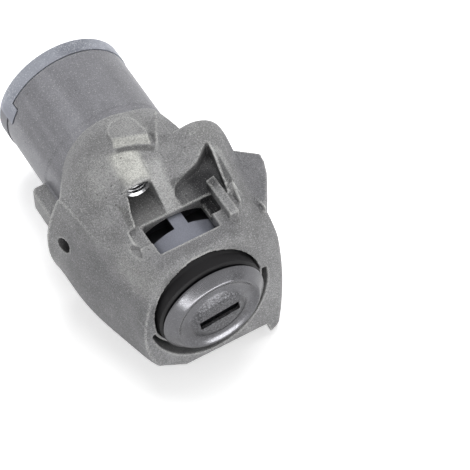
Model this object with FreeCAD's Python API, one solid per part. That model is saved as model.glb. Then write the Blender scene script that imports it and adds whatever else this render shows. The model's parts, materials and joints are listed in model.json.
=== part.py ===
import FreeCAD, Part
import math
import os
from FreeCAD import Placement, Rotation, Vector

# Car door lock cylinder: a die cast housing holding a sprung rotor with its key plug.
#
# Frame, in millimetres: X to the right of someone facing the key slot, Y from the face
# towards the rear, Z up. The origin is on the lock axis, level with the ridge of the face cap.

# Overall sizes
lock_length = 70.0
barrel_radius = 14.8
barrel_front_y = 10.2
barrel_wall = 2.45
sleeve_wall = 4.25
running_gap = 0.05
seat_gap = 0.02
free_gap = 0.3

# Front part of the barrel, a little thinner than the seat behind it
barrel_seat_front_y = 49.0
barrel_seat_step = 0.2

# The key plug stands a little turned when the key is out, anticlockwise from the front
rest_turn_deg = 7.0

# Front of the housing
front_plane_y = 4.2
front_tilt_deg = 10.0
front_edge_radius = 3.0
front_edge_rear_y = 9.0
front_edge_right_x = 17.0
mouth_radius = 12.7
mouth_depth_y = 8.3
inner_lip_wall = 0.65
chin_gap_outer_radius = 14.1
chin_gap_from_deg = 190.0
chin_gap_to_deg = 366.0
chin_gap_end_y = 9.5
inner_lip_setback = 0.7

# Pad and window over the rotor
pad_wall = 1.35
pad_half_width = 10.5
pad_front_y = 6.3
pad_corner_radius = 2.2
window_half_width = 7.0
window_front_y = 10.8
window_rear_y = 18.9
side_step_half_width = 10.1
side_step_front_y = 14.2
side_step_drop = 0.55
deep_step_right_x = 9.5
deep_step_front_y = 14.7
deep_step_floor_z = 11.6

# Pockets behind the window, either side of the rib
left_pocket_inner_x = -0.7
left_pocket_rear_y = 27.4
left_pocket_points = ((-6.4, 0.0), (-7.8, -4.6), (-8.7, -9.6), (-8.9, -20.0), (-0.7, -20.0), (-0.7, 0.0))
right_pocket_inner_x = 2.7
right_pocket_points = ((2.6, 21.8), (3.6, 23.3), (6.4, 24.3), (9.9, 25.3), (11.5, 26.5), (14.2, 28.6),
                       (14.1, 26.4), (13.3, 22.2), (12.4, 17.0), (10.1, 14.4))
rail_width = 2.2
rail_inner_x = 9.5
rail_rear_y = 21.4
rail_height = 2.1
rail_end_slant = 0.4
rail_root = 0.3

# Rib between the pockets, the split in the right wall and the small recess left of the pad
rib_front_y = 20.4
rib_front_height = 0.12
rib_slope_deg = 33.0
rib_slope_to_x = 9.0
rib_slope_past_y = 3.0
split_outline = ((12.6, 17.8), (14.9, 20.0), (14.1, 14.8))
split_floor_z = 14.2
recess_outline = ((-11.3, 16.6), (-9.8, 15.3), (-10.5, 12.0), (-11.9, 14.5))
recess_floor_z = 12.4

# Rear boss behind the screw boss: a bar with a sloping front and a rounded plateau
rear_bar_outline = ((-4.2, 35.1), (3.1, 32.4), (3.8, 35.6), (3.2, 37.4), (-3.6, 38.4))
rear_bar_front_z = 20.1
rear_bar_slope_deg = 30.0
rear_bar_turn_deg = -20.3
rear_boss_x = -0.3
rear_boss_y = 37.6
rear_boss_radius = 3.6
rear_boss_top_z = 21.3
rear_boss_bottom_z = 15.0

# Crest that runs from the shield up to a peak on the hump, and the fin of the right wall
crest_top = ((8.4, 39.8, 19.6), (5.0, 33.3, 21.1), (2.9, 29.4, 19.6))
crest_left_foot = (4.0, 36.4, 19.0)
crest_right_foot = (8.4, 33.6, 18.1)
fin_tip = (14.0, 18.0, 17.1)
fin_feet = ((12.9, 15.9, 14.6), (13.3, 13.0, 14.9), (15.0, 15.6, 13.6))
foot_depth = 4.0

# Ear on the right side
ear_outline = ((16.0, 31.0), (20.8, 28.4), (25.3, 25.8), (25.0, 23.6), (23.8, 20.4), (22.2, 17.6),
               (20.4, 14.7), (18.2, 11.4))
ear_top_z = 10.1
ear_bottom_z = 4.0
ear_slope_deg = 16.0

# Screw boss
screw_radius = 2.7
screw_boss_wall = 1.2
screw_boss_x = -3.95
screw_face_y = 26.15
screw_tilt_deg = 24.0
screw_depth = 8.0
screw_boss_length = 8.2
screw_boss_direction = (0.13, 0.98, -0.02)
screw_floor_gap = 0.3

# Skin of the shield, its walls and the rear hump
skin_wall = 2.2
skin_rear_y = 34.0
hump_rear_y = 44.4
hollow_front_y = 15.0
hollow_top_z = 8.0
hollow_half_width = 20.2
pin_hole_radius = 1.7
pin_hole_y = 29.6
pin_hole_z = 4.0
pin_hole_end_x = -15.0

# Side lug behind the left flank
lug_front_y = 36.5
lug_rear_y = 48.6
lug_reach_x = -18.5
lug_bottom_z = -4.8
lug_top_z = 0.6
lug_corner = 1.4

# Rear cap
rear_cap_wall = 0.8
rear_cap_rim = 3.7
rear_cap_stand = 0.2
rear_cap_edge = 0.5
rear_tab_deg = 158.0
rear_tab_width = 4.2
rear_tab_length = 2.2
rear_hole_gap = 0.6

# Face cap
cap_radius = 12.0
cap_ridge_radius = 11.05
cap_wall = 0.6
cap_length = 2.63
cap_groove_radius = 9.0
cap_groove_depth = 0.85
cap_groove_wall = 0.4
cap_plateau_radius = 7.2
cap_plateau_y = -0.45
cap_plateau_edge = 0.7
cap_edge_drop = 0.08
cap_floor_wall = 0.85
cap_back_y = 1.75
cap_skirt_length = 0.8
cap_corner = (0.6, 0.4)

# Rounding of the face cap outside its plateau: how far in from an edge, and how deep
cap_groove_inner = (0.9, 0.45)
cap_groove_outer = (0.8, 0.62)
cap_ridge_inner = (0.55, 0.15)
cap_shoulder = ((0.42, 0.12), (0.07, 0.5))
key_slot_width = 9.4
key_slot_height = 2.6
key_slot_corner = 0.5

# Mouth seal
seal_front_y = 2.95
seal_neck_gap = 0.06
seal_lip_radius = 12.2
seal_lip_round = 0.5
seal_lip_past_face = 1.6
seal_foot_length = 1.4

# Plug
plug_neck_radius = 10.3
plug_neck_rear_y = 8.0
plug_head_gap = 0.1
plug_end_step = 0.4
plug_end_length = 2.0
plug_tail_step = 3.0
plug_tail_length = 3.4
plug_tang_width = 4.0
plug_tang_wall = 0.6
plug_tang_length = 2.6
clip_setback = 0.4
keyway_width = 8.6
keyway_height = 2.7
keyway_end_wall = 4.0
clip_groove_depth = 1.6
clip_stand = 1.6
clip_thickness = 0.8
clip_mouth_deg = 70.0

# Dust shutter in the head of the plug
shutter_thickness = 0.5
shutter_width = 10.4
shutter_height = 4.0
shutter_y = 1.9
shutter_knuckle_radius = 0.75
shutter_pin_radius = 0.45
shutter_pin_length = 13.6
shutter_pin_z = 2.15
shutter_room_depth = 5.5
shutter_side_gap = 0.2
shutter_knuckle_gap = 0.15
shutter_relief = 2.8
shutter_spring_radius = 0.66
shutter_spring_wire = 0.22
shutter_spring_turns = 4
small_coil_sides = 8
large_coil_sides = 20

# Sleeve
sleeve_front_y = 8.35
sleeve_end_gap = 0.1
sleeve_slots = ((-6.7, -1.0), (2.2, 7.1))
sleeve_slot_front_y = 15.8
sleeve_slot_rear_y = 19.8
sleeve_slot_wall = 0.7
channel_room = 1.3
channel_height = 7.6
channel_front_y = 10.6
channel_end_wall = 6.9

# Wafers
wafer_count = 8
wafer_first_y = 12.4
wafer_last_setback = 10.5
wafer_thickness = 1.1
wafer_height = 6.8
wafer_slot_gap = 0.06
wafer_lift = 0.75
wafer_end_wall = 2.9
wafer_window_height = 3.2
wafer_lug = 0.55
wafer_lug_height = 1.1
wafer_code_step = 0.1
wafer_codes = 3
wafer_notch_depth = 1.3
tooth_from_x = -2.8
tooth_width = 0.8
wafer_notch_to_x = 2.2
wafer_spring_wire = 0.26
wafer_spring_radius = 0.42
wafer_spring_turns = 4

# Driver at the rear
driver_front_gap = 0.35
driver_end_wall = 1.0
driver_socket_wall = 2.6
driver_slot_corner = 0.4
driver_flange_gap = 0.4
driver_flange_thickness = 2.4
driver_hub_room = 6.3
driver_hub_setback = 1.4
driver_boss_step = 0.4
driver_boss_setback = 0.3
driver_slot_wall = 1.9
driver_slot_height = 2.6
driver_slot_depth = 9.0

# Clutch ring and its spring
clutch_gap = 0.5
clutch_length = 3.2
clutch_dog_angles = (90, 210, 330)
clutch_dog_wall = 1.6
clutch_dog_gap = 0.1
clutch_dog_width = 4.0
clutch_dog_length = 1.6
clutch_spring_room = 3.7
clutch_spring_wire = 1.0
clutch_spring_length = 7.0
clutch_spring_turns = 3
spring_washer_gap = 1.3
spring_washer_thickness = 0.8
hub_clip_groove_depth = 0.8
hub_clip_stand = 2.0

# Return spring behind the hub clip
return_spring_room = 2.7
return_spring_wire = 1.0
return_spring_pitch = 1.35
return_spring_turns = 2
return_spring_end_gap = 0.32

axis_y = Vector(0, 1, 0)
face_axis = Vector(0, -1, 0)
origin = Vector(0, 0, 0)

# Reach of the cutters, past a face and past everything, and of joined shapes into each other
overshoot = 1.0
overlap = 0.5
far = 60.0

# How near to a face an edge counts as being on it
on_face = 0.01

# Radii that follow the barrel
bore_radius = barrel_radius - barrel_wall
barrel_neck_radius = barrel_radius - barrel_seat_step
sleeve_radius = bore_radius - running_gap
plug_radius = sleeve_radius - sleeve_wall - running_gap
plug_end_radius = plug_radius - plug_end_step
plug_tail_radius = plug_radius - plug_tail_step
plug_tang_height = 2 * (plug_tail_radius - plug_tang_wall)
clip_groove_radius = plug_radius - clip_groove_depth
clip_outer_radius = plug_radius + clip_stand
channel_radius = plug_radius + channel_room
sleeve_slot_floor_z = plug_radius + sleeve_slot_wall
wafer_window_width = 2 * (plug_radius - wafer_end_wall)
driver_flange_radius = sleeve_radius - driver_flange_gap
driver_hub_radius = sleeve_radius - driver_hub_room
driver_boss_radius = driver_hub_radius - driver_boss_step
driver_slot_width = 2 * (driver_boss_radius - driver_slot_wall)
rear_hole_radius = driver_boss_radius + rear_hole_gap
clutch_outer_radius = sleeve_radius - clutch_gap
clutch_dog_radius = driver_hub_radius + clutch_dog_wall
clutch_spring_radius = sleeve_radius - clutch_spring_room
spring_washer_radius = sleeve_radius - spring_washer_gap
hub_clip_radius = driver_hub_radius + hub_clip_stand
hub_clip_groove_radius = driver_hub_radius - hub_clip_groove_depth
return_spring_radius = sleeve_radius - return_spring_room

# Places of the rear pieces, from the rear of the lock forwards
pad_z = bore_radius + pad_wall
rear_cap_front_y = lock_length - rear_cap_rim
barrel_end_y = lock_length - rear_cap_wall
driver_hub_rear_y = lock_length - driver_hub_setback
driver_boss_rear_y = lock_length - driver_boss_setback
return_spring_length = return_spring_turns * return_spring_pitch + return_spring_wire
return_spring_front_y = barrel_end_y - return_spring_end_gap - return_spring_length
hub_clip_front_y = return_spring_front_y - free_gap - clip_thickness
spring_washer_front_y = hub_clip_front_y - seat_gap - spring_washer_thickness
clutch_spring_front_y = spring_washer_front_y - seat_gap - clutch_spring_length
clutch_rear_y = clutch_spring_front_y - seat_gap
clutch_front_y = clutch_rear_y - clutch_length
flange_rear_y = clutch_front_y - seat_gap
plug_rear_y = flange_rear_y - driver_end_wall - plug_tang_length - plug_tail_length
plug_end_y = plug_rear_y + plug_end_length
driver_front_y = plug_end_y + driver_front_gap
clip_front_y = plug_rear_y + clip_setback
keyway_end_y = plug_rear_y - keyway_end_wall
sleeve_rear_y = plug_rear_y - sleeve_end_gap
channel_rear_y = sleeve_rear_y - channel_end_wall
wafer_last_y = plug_rear_y - wafer_last_setback
wafer_pitch = (wafer_last_y - wafer_first_y) / (wafer_count - 1)
shutter_pin_y = shutter_y + shutter_knuckle_radius


# Small shape helpers
def block(x_from, x_to, y_from, y_to, z_from, z_to):
    """Box between two corners."""
    return Part.makeBox(x_to - x_from, y_to - y_from, z_to - z_from, Vector(x_from, y_from, z_from))


def rod(radius, y_from, y_to, x=0.0, z=0.0):
    """Round bar along Y."""
    return Part.makeCylinder(radius, y_to - y_from, Vector(x, y_from, z), axis_y)


def tube(outer, inner, y_from, y_to):
    """Round tube along Y about the lock axis."""
    return rod(outer, y_from, y_to).cut(rod(inner, y_from - overshoot, y_to + overshoot))


def turned(profile):
    """Solid turned about the lock axis from (radius, y) corners."""
    corners = [Vector(radius, y, 0) for radius, y in profile]
    face = Part.Face(Part.makePolygon(corners + corners[:1]))
    return face.revolve(origin, axis_y, 360)


def prism_along_z(corners, z_from, z_to):
    """Solid with an outline of (x, y) corners, drawn along Z."""
    points = [Vector(x, y, z_from) for x, y in corners]
    face = Part.Face(Part.makePolygon(points + points[:1]))
    return face.extrude(Vector(0, 0, z_to - z_from))


def rounded_slot(width, height, corner, y_from, y_to):
    """Bar along Y with a rounded rectangular section, centred on the lock axis."""
    bar = block(-width / 2, width / 2, y_from, y_to, -height / 2, height / 2)
    long_edges = [edge for edge in bar.Edges if abs(edge.tangentAt(edge.FirstParameter).y) > 0.99]
    return bar.makeFillet(corner, long_edges)


def sector(outer, inner, from_deg, to_deg, y_from, y_to):
    """Part of a tube between two angles, measured from +X towards +Z."""
    ring = tube(outer, inner, y_from, y_to)
    front_y = y_from - overshoot
    rear_y = y_to + overshoot
    wedge_profile = [Vector(x, y, 0) for x, y in ((0, front_y), (far, front_y), (far, rear_y), (0, rear_y))]
    wedge_face = Part.Face(Part.makePolygon(wedge_profile + wedge_profile[:1]))
    wedge_face.rotate(origin, face_axis, from_deg)
    wedge = wedge_face.revolve(origin, face_axis, to_deg - from_deg)
    return ring.common(wedge)


def turn_to_rest(shape):
    """The same shape at the angle at which the plug stands with no key."""
    turned_shape = shape.copy()
    turned_shape.rotate(origin, face_axis, rest_turn_deg)
    return turned_shape


def coil(radius, wire, length, turns, sides, start, axis):
    """Coil spring of square wire that fills a length from start along axis.

    sides is the number of straight runs in each turn.
    """
    half = wire / 2
    rise = (length - wire) / (turns * sides)
    sections = []
    for step in range(turns * sides + 1):
        angle = 2 * math.pi * step / sides
        outward = Vector(math.cos(angle), math.sin(angle), 0)
        level = Vector(0, 0, half + step * rise)
        corners = [level + outward * (radius + dr) + Vector(0, 0, dz)
                   for dr, dz in ((-half, -half), (half, -half), (half, half), (-half, half))]
        sections.append(Part.makePolygon(corners + corners[:1]))
    spring = Part.makeLoft(sections, True, True)
    spring.Placement = Placement(start, Rotation(Vector(0, 0, 1), axis))
    return spring


# Housing
def skin_station(y, left, top, right, under, inset=0.0):
    """Closed section of the shield at one y.

    left and right run from the crease down the flank, top from the left crease to the right
    edge, and under along the bottom. inset moves every point towards the lock axis.
    """
    def place(points):
        placed = []
        for x, z in points:
            reach = math.hypot(x, z)
            keep = (reach - inset) / reach
            placed.append(Vector(x * keep, y, z * keep))
        return placed

    def spline(points):
        curve = Part.BSplineCurve()
        curve.interpolate(points)
        return curve.toShape()

    top_points = place(top)
    left_points = place(left)
    right_points = place(right)
    under_points = place(under)
    edges = [spline(top_points)]
    edges.append(spline([top_points[-1]] + right_points))
    chain = [right_points[-1]] + under_points + [left_points[-1]]
    edges.extend(Part.makeLine(chain[i], chain[i + 1]) for i in range(len(chain) - 1))
    edges.append(spline(list(reversed(left_points)) + [top_points[0]]))
    return Part.Wire(edges)


# Sections of the shield along the lock: (x, z) points, left to right
skin_sections = (
    (-1.0,
     ((-13.9, -4.0), (-11.8, -10.2)),
     ((-11.6, 3.0), (-10.6, 5.8), (-8.6, 8.8), (-5.6, 11.4), (0.0, 12.9), (5.6, 11.4), (9.8, 9.0),
      (13.2, 5.4), (15.4, 0.0)),
     ((15.9, -7.5), (14.4, -16.0)),
     ((12.2, -16.8), (11.8, -14.6), (-6.6, -14.6))),
    (4.0,
     ((-15.7, -4.0), (-14.3, -12.2)),
     ((-13.0, 5.8), (-12.0, 8.4), (-10.2, 11.1), (-6.0, 13.0), (0.0, 13.9), (6.0, 13.1), (10.7, 11.3),
      (14.8, 8.2), (17.9, 3.2)),
     ((17.9, -7.2), (16.2, -17.8)),
     ((13.2, -18.5), (12.6, -15.8), (-8.2, -15.8))),
    (10.0,
     ((-16.2, -3.6), (-15.7, -13.0)),
     ((-12.9, 8.8), (-12.0, 10.7), (-10.6, 12.7), (-6.0, 14.0), (0.0, 14.3), (6.0, 14.1), (11.0, 13.1),
      (15.4, 10.8), (18.9, 7.4)),
     ((19.0, -6.0), (17.2, -17.2)),
     ((13.7, -18.2), (12.8, -16.6), (-9.6, -16.6))),
    (18.0,
     ((-18.3, -2.5), (-18.0, -12.4)),
     ((-14.6, 10.7), (-12.9, 12.0), (-10.4, 14.0), (-7.8, 14.9), (0.0, 14.9), (7.6, 14.9), (12.4, 15.2),
      (15.8, 13.2), (19.2, 9.4)),
     ((20.0, -3.0), (19.2, -12.4)),
     ((14.2, -15.4), (12.6, -15.4), (-11.2, -15.4))),
    (26.0,
     ((-20.4, -2.0), (-20.0, -9.8)),
     ((-16.9, 12.3), (-13.9, 13.2), (-10.2, 16.6), (-7.2, 17.9), (1.0, 18.2), (8.0, 17.3), (13.4, 17.3),
      (16.9, 15.2), (19.5, 12.2)),
     ((20.6, -2.0), (20.0, -9.8)),
     ((15.0, -13.0), (12.6, -13.4), (-12.6, -13.4))),
    (skin_rear_y,
     ((-22.3, -1.5), (-21.0, -7.6)),
     ((-18.9, 14.0), (-14.6, 14.8), (-10.0, 18.8), (-6.4, 20.6), (2.0, 20.4), (9.0, 18.3), (13.4, 18.6),
      (16.8, 17.2), (19.0, 14.8)),
     ((22.6, -1.2), (21.0, -7.6)),
     ((15.0, -9.0), (12.8, -9.2), (-12.8, -9.2))),
)

# Rear hump over the barrel, from the rear of the shield back to the bare barrel
hump_sections = (
    (skin_rear_y - overlap,
     ((-18.8, 13.8), (-14.6, 14.7), (-10.0, 18.7), (-6.4, 20.5), (0.5, 20.6), (4.5, 19.7), (8.5, 17.4),
      (12.2, 15.6)),
     ((11.0, 6.0), (-12.0, 6.0))),
    (39.5,
     ((-15.2, 10.9), (-12.8, 13.6), (-9.8, 17.4), (-6.2, 19.5), (0.2, 19.8), (4.6, 18.6), (8.4, 17.4),
      (11.2, 15.0)),
     ((10.6, 6.0), (-11.6, 6.0))),
    (hump_rear_y,
     ((-12.4, 7.9), (-11.4, 11.4), (-9.2, 15.2), (-6.0, 17.7), (0.2, 18.5), (3.6, 17.4), (7.4, 16.0),
      (10.4, 13.6)),
     ((10.0, 6.0), (-11.0, 6.0))),
)


def hump_station(y, top, under):
    """Closed section of the rear hump at one y."""
    curve = Part.BSplineCurve()
    curve.interpolate([Vector(x, y, z) for x, z in top])
    corners = [Vector(x, y, z) for x, z in (top[-1],) + under + (top[0],)]
    sides = [Part.makeLine(corners[i], corners[i + 1]) for i in range(len(corners) - 1)]
    return Part.Wire([curve.toShape()] + sides)


def make_shield(inset=0.0):
    """Solid inside the outer skin of the shield, or inside its inner face for an inset."""
    wires = [skin_station(y, left, top, right, under, inset)
             for y, left, top, right, under in skin_sections]
    return Part.makeLoft(wires, True, False)


def make_hump():
    """Solid of the rear hump."""
    wires = [hump_station(y, top, under) for y, top, under in hump_sections]
    return Part.makeLoft(wires, True, False)


def cut_front(body):
    """Trim the shield by the sloping plane of its mouth."""
    cutter = block(-far, far, -far, 0, -far, far)
    cutter.rotate(origin, Vector(1, 0, 0), -front_tilt_deg)
    cutter.translate(Vector(0, front_plane_y, 0))
    body = body.cut(cutter)
    rounded = [edge for edge in body.Edges
               if edge.BoundBox.YMax < front_edge_rear_y and edge.BoundBox.XMax > front_edge_right_x]
    return body.makeFillet(front_edge_radius, rounded)


def cut_pad(body):
    """Level the pad in front of the window, with rounded front corners."""
    rounding = Part.makeCylinder(pad_corner_radius, far, Vector(0, 0, pad_z))
    reach = pad_half_width - pad_corner_radius
    left_round = rounding.translated(Vector(-reach, pad_front_y + pad_corner_radius, 0))
    right_round = rounding.translated(Vector(reach, pad_front_y + pad_corner_radius, 0))
    level = block(-reach, reach, pad_front_y, window_rear_y, pad_z, far)
    sides = block(-pad_half_width, pad_half_width, pad_front_y + pad_corner_radius,
                  side_step_front_y, pad_z, far)
    return body.cut(level.fuse([left_round, right_round, sides]))


def cut_window(body):
    """Open the window over the rotor and the pockets behind it."""
    step_z = pad_z - side_step_drop
    window = block(-window_half_width, window_half_width, window_front_y, window_rear_y, 0, far)
    side_steps = block(-side_step_half_width, side_step_half_width, side_step_front_y,
                       window_rear_y, step_z, far)
    left_pocket = lean_on_mouth(prism_along_z(left_pocket_points, -far, far))
    left_pocket = left_pocket.common(block(-far, far, window_front_y, far, pad_z, far))
    right_outline = ((right_pocket_inner_x, window_front_y + overshoot),) + right_pocket_points
    right_pocket = prism_along_z(right_outline, pad_z, far)
    deep_step = block(0, deep_step_right_x, deep_step_front_y, window_rear_y, deep_step_floor_z, far)
    return body.cut(window.fuse([side_steps, deep_step, left_pocket, right_pocket]))


def make_rail():
    """Guide rail that stands in the right pocket."""
    outline = ((rail_inner_x, window_front_y), (rail_inner_x + rail_width, window_front_y),
               (rail_inner_x + rail_width, rail_rear_y), (rail_inner_x, rail_rear_y - rail_end_slant))
    return prism_along_z(outline, pad_z - side_step_drop - rail_root, pad_z + rail_height)


def screw_frame():
    """Centre of the screw hole's mouth and its direction into the boss."""
    centre = Vector(screw_boss_x, screw_face_y, pad_z + screw_floor_gap + screw_radius)
    return centre, Vector(*screw_boss_direction).normalize()


def lean_on_mouth(shape):
    """Move a shape from the plane y = 0 to the leaning plane of the screw hole's mouth."""
    shape.rotate(origin, Vector(1, 0, 0), screw_tilt_deg)
    shape.translate(Vector(0, left_pocket_rear_y, pad_z))
    return shape


def make_screw_boss():
    """Round boss over the screw hole, which runs out into the tower."""
    centre, direction = screw_frame()
    radius = screw_radius + screw_boss_wall
    boss = Part.makeCylinder(radius, screw_boss_length + radius, centre - direction * radius, direction)
    return boss.common(lean_on_mouth(block(-far, far, 0, far, -far, far)))


def make_screw_hole():
    """Blind tapping hole that opens into the left pocket."""
    centre, direction = screw_frame()
    return Part.makeCylinder(screw_radius, screw_depth + screw_radius, centre - direction * screw_radius,
                             direction)


def make_ear():
    """Flat ear that stands out of the right side of the shield."""
    ear = prism_along_z(ear_outline, ear_bottom_z, far)
    slope = block(-far, far, -far, far, 0, far)
    slope.rotate(origin, axis_y, ear_slope_deg)
    slope.translate(Vector(ear_outline[1][0], 0, ear_top_z))
    return ear.cut(slope)


def cut_rib(body):
    """Slope the top of the rib down to the floor of the pockets."""
    foot_z = pad_z + rib_front_height
    slope = block(left_pocket_inner_x, rib_slope_to_x, -far, far, 0, far)
    slope.rotate(origin, Vector(1, 0, 0), rib_slope_deg)
    slope.translate(Vector(0, rib_front_y, foot_z))
    limit = block(-far, far, window_front_y, left_pocket_rear_y + rib_slope_past_y, foot_z, far)
    return body.cut(slope.common(limit))


def cut_details(body):
    """Split in the right wall and the small recess left of the pad."""
    split = prism_along_z(split_outline, split_floor_z, far)
    recess = prism_along_z(recess_outline, recess_floor_z, far)
    return body.cut(split).cut(recess)


def make_rear_boss():
    """Bar and rounded plateau on the hump, behind the screw boss."""
    bar = prism_along_z(rear_bar_outline, rear_boss_bottom_z, rear_boss_top_z)
    slope = block(-far, far, -far, far, 0, far)
    slope.rotate(origin, Vector(1, 0, 0), rear_bar_slope_deg)
    slope.rotate(origin, Vector(0, 0, 1), rear_bar_turn_deg)
    slope.translate(Vector(rear_bar_outline[0][0], rear_bar_outline[0][1], rear_bar_front_z))
    plateau = Part.makeCylinder(rear_boss_radius, rear_boss_top_z - rear_boss_bottom_z,
                                Vector(rear_boss_x, rear_boss_y, rear_boss_bottom_z))
    return bar.fuse(plateau).cut(slope)


def raised(top, feet):
    """Solid whose top faces join a ridge of (x, y, z) points to the feet on either side.

    feet run round the ridge; the first is beyond one end of it.
    """
    def face(*corners):
        points = [Vector(*corner) for corner in corners]
        return Part.Face(Part.makePolygon(points + points[:1]))

    base_z = min(foot[2] for foot in feet) - foot_depth
    low = [(x, y, base_z) for x, y, z in feet]
    around = list(range(len(feet)))
    faces = [face(*low[::-1])]
    for index in around:
        after = (index + 1) % len(feet)
        faces.append(face(low[index], low[after], feet[after]))
        faces.append(face(low[index], feet[after], feet[index]))
    faces.extend(face(*corners) for corners in top)
    return Part.Solid(Part.makeShell(faces))


def make_crest():
    """Crest on the hump with its peak at the rear."""
    peak, middle, front = crest_top
    left, right = crest_left_foot, crest_right_foot
    tops = ((peak, left, middle), (middle, left, front), (front, right, middle), (middle, right, peak))
    return raised(tops, (peak, left, front, right))


def make_fin():
    """Pointed fin on the right wall, beside the split."""
    first, second, third = fin_feet
    tops = ((fin_tip, first, second), (fin_tip, second, third), (fin_tip, third, first))
    return raised(tops, fin_feet)


def make_hollows():
    """Spaces between the flanks and the barrel, open at the rear."""
    space = make_shield(skin_wall)
    limit = block(-hollow_half_width, hollow_half_width, hollow_front_y, skin_rear_y + overshoot,
                  -far, hollow_top_z)
    keep = rod(barrel_neck_radius, 0, lock_length)
    return space.common(limit).cut(keep)


def make_lug():
    """Side lug that steadies the barrel behind the left flank."""
    lug = block(lug_reach_x, 0, lug_front_y, lug_rear_y, lug_bottom_z, lug_top_z)
    outer = [edge for edge in lug.Edges
             if edge.BoundBox.XMax < lug_reach_x + on_face and edge.BoundBox.YLength < on_face]
    return lug.makeFillet(lug_corner, outer)


def tab_notch(clearance):
    """Space of the rear cap's locking tab, or of its notch for a clearance."""
    half_deg = math.degrees((rear_tab_width / 2 + clearance) / barrel_radius)
    seat = barrel_radius - rear_cap_wall
    return sector(barrel_radius + overshoot, seat, rear_tab_deg - half_deg, rear_tab_deg + half_deg,
                  rear_cap_front_y - rear_tab_length - clearance, rear_cap_front_y + overlap)


def make_housing():
    """Die cast housing: shield, barrel, window, pockets, screw boss and side lug."""
    neck = rod(barrel_neck_radius, barrel_front_y, barrel_end_y)
    seat = rod(barrel_radius, barrel_seat_front_y, barrel_end_y)
    body = cut_front(make_shield())
    body = body.fuse([make_hump(), make_rear_boss(), make_crest(), neck, seat, make_screw_boss(),
                      make_lug(), make_ear()])
    body = cut_details(cut_rib(cut_window(cut_pad(body))))
    body = body.fuse([make_rail(), make_fin()])
    body = body.cut(make_screw_hole())
    body = body.cut(make_hollows())
    cap_seat = tube(barrel_radius + overshoot, barrel_radius - rear_cap_wall + rear_cap_stand,
                    rear_cap_front_y, lock_length)
    bore = rod(bore_radius, mouth_depth_y - overlap, lock_length)
    mouth = rod(mouth_radius, -far, mouth_depth_y)
    lip_radius = mouth_radius + inner_lip_wall
    chin_gap = sector(chin_gap_outer_radius, lip_radius, chin_gap_from_deg, chin_gap_to_deg,
                      -overshoot, chin_gap_end_y)
    lip_face = sector(chin_gap_outer_radius, mouth_radius - overshoot, chin_gap_from_deg,
                      chin_gap_to_deg, -overshoot, front_plane_y + inner_lip_setback)
    pin_hole = Part.makeCylinder(pin_hole_radius, far, Vector(pin_hole_end_x - far, pin_hole_y, pin_hole_z),
                                 Vector(1, 0, 0))
    for cutter in (cap_seat, bore, mouth, chin_gap, lip_face, pin_hole, tab_notch(seat_gap)):
        body = body.cut(cutter)
    return body


def make_rear_cap():
    """Pressed steel cap that closes the barrel, locked by a tab in its notch."""
    outer = barrel_radius + rear_cap_stand
    seat = barrel_radius - rear_cap_wall + rear_cap_stand + seat_gap
    disc = tube(outer, rear_hole_radius, barrel_end_y + seat_gap, lock_length)
    rim = tube(outer, seat, rear_cap_front_y + seat_gap, lock_length)
    tab = tab_notch(0.0).common(tube(outer, seat, 0, lock_length))
    cap = disc.fuse(rim)
    rear_edge = [edge for edge in cap.Edges
                 if edge.BoundBox.YMin > lock_length - on_face and edge.BoundBox.XMax > outer - on_face]
    return cap.makeFillet(rear_cap_edge, rear_edge).fuse(tab)


def make_mouth_seal():
    """Rubber ring in the mouth, with a lip in front of the casting."""
    inner = plug_neck_radius + seal_neck_gap
    outer = mouth_radius - seat_gap
    rear_y = mouth_depth_y - seat_gap
    lip_rear_y = front_plane_y + seal_lip_past_face
    return turned(((inner, seal_front_y + seal_lip_round), (inner + seal_lip_round, seal_front_y),
                   (seal_lip_radius - seal_lip_round, seal_front_y),
                   (seal_lip_radius, seal_front_y + seal_lip_round), (seal_lip_radius, lip_rear_y),
                   (outer, mouth_depth_y - seal_foot_length), (outer, rear_y), (inner, rear_y)))


# Rotor
def make_face_cap():
    """Pressed stainless cap with a ridge, a dished ring, a plateau and the key slot."""
    skirt_radius = cap_radius - cap_wall
    waves = [Vector(radius, y, 0) for radius, y in
             ((cap_plateau_radius - cap_plateau_edge, cap_plateau_y),
              (cap_plateau_radius, cap_plateau_y + cap_edge_drop),
              (cap_groove_radius - cap_groove_inner[0], cap_groove_inner[1]),
              (cap_groove_radius, cap_groove_depth),
              (cap_groove_radius + cap_groove_outer[0], cap_groove_outer[1]),
              (cap_ridge_radius - cap_ridge_inner[0], cap_ridge_inner[1]),
              (cap_ridge_radius, 0.0),
              (cap_radius - cap_shoulder[0][0], cap_shoulder[0][1]),
              (cap_radius - cap_shoulder[1][0], cap_shoulder[1][1]),
              (cap_radius, cap_length - cap_skirt_length))]
    back = [Vector(radius, y, 0) for radius, y in
            ((cap_radius, cap_length), (skirt_radius, cap_length), (skirt_radius, cap_back_y),
             (skirt_radius - cap_corner[0], cap_back_y - cap_corner[1]),
             (cap_groove_radius, cap_groove_depth + cap_groove_wall),
             (cap_plateau_radius - cap_plateau_edge, cap_plateau_y + cap_floor_wall),
             (0.0, cap_plateau_y + cap_floor_wall), (0.0, cap_plateau_y))]
    curve = Part.BSplineCurve()
    curve.interpolate(Points=waves, InitialTangent=Vector(1, 0, 0), FinalTangent=Vector(0, 1, 0))
    chain = [waves[-1]] + back + [waves[0]]
    edges = [Part.makeLine(chain[i], chain[i + 1]) for i in range(len(chain) - 1)]
    profile = Part.Face(Part.Wire([curve.toShape()] + edges))
    slot = rounded_slot(key_slot_width, key_slot_height, key_slot_corner, -overshoot,
                        cap_length + overshoot)
    return turn_to_rest(profile.revolve(origin, axis_y, 360).cut(slot))


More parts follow.
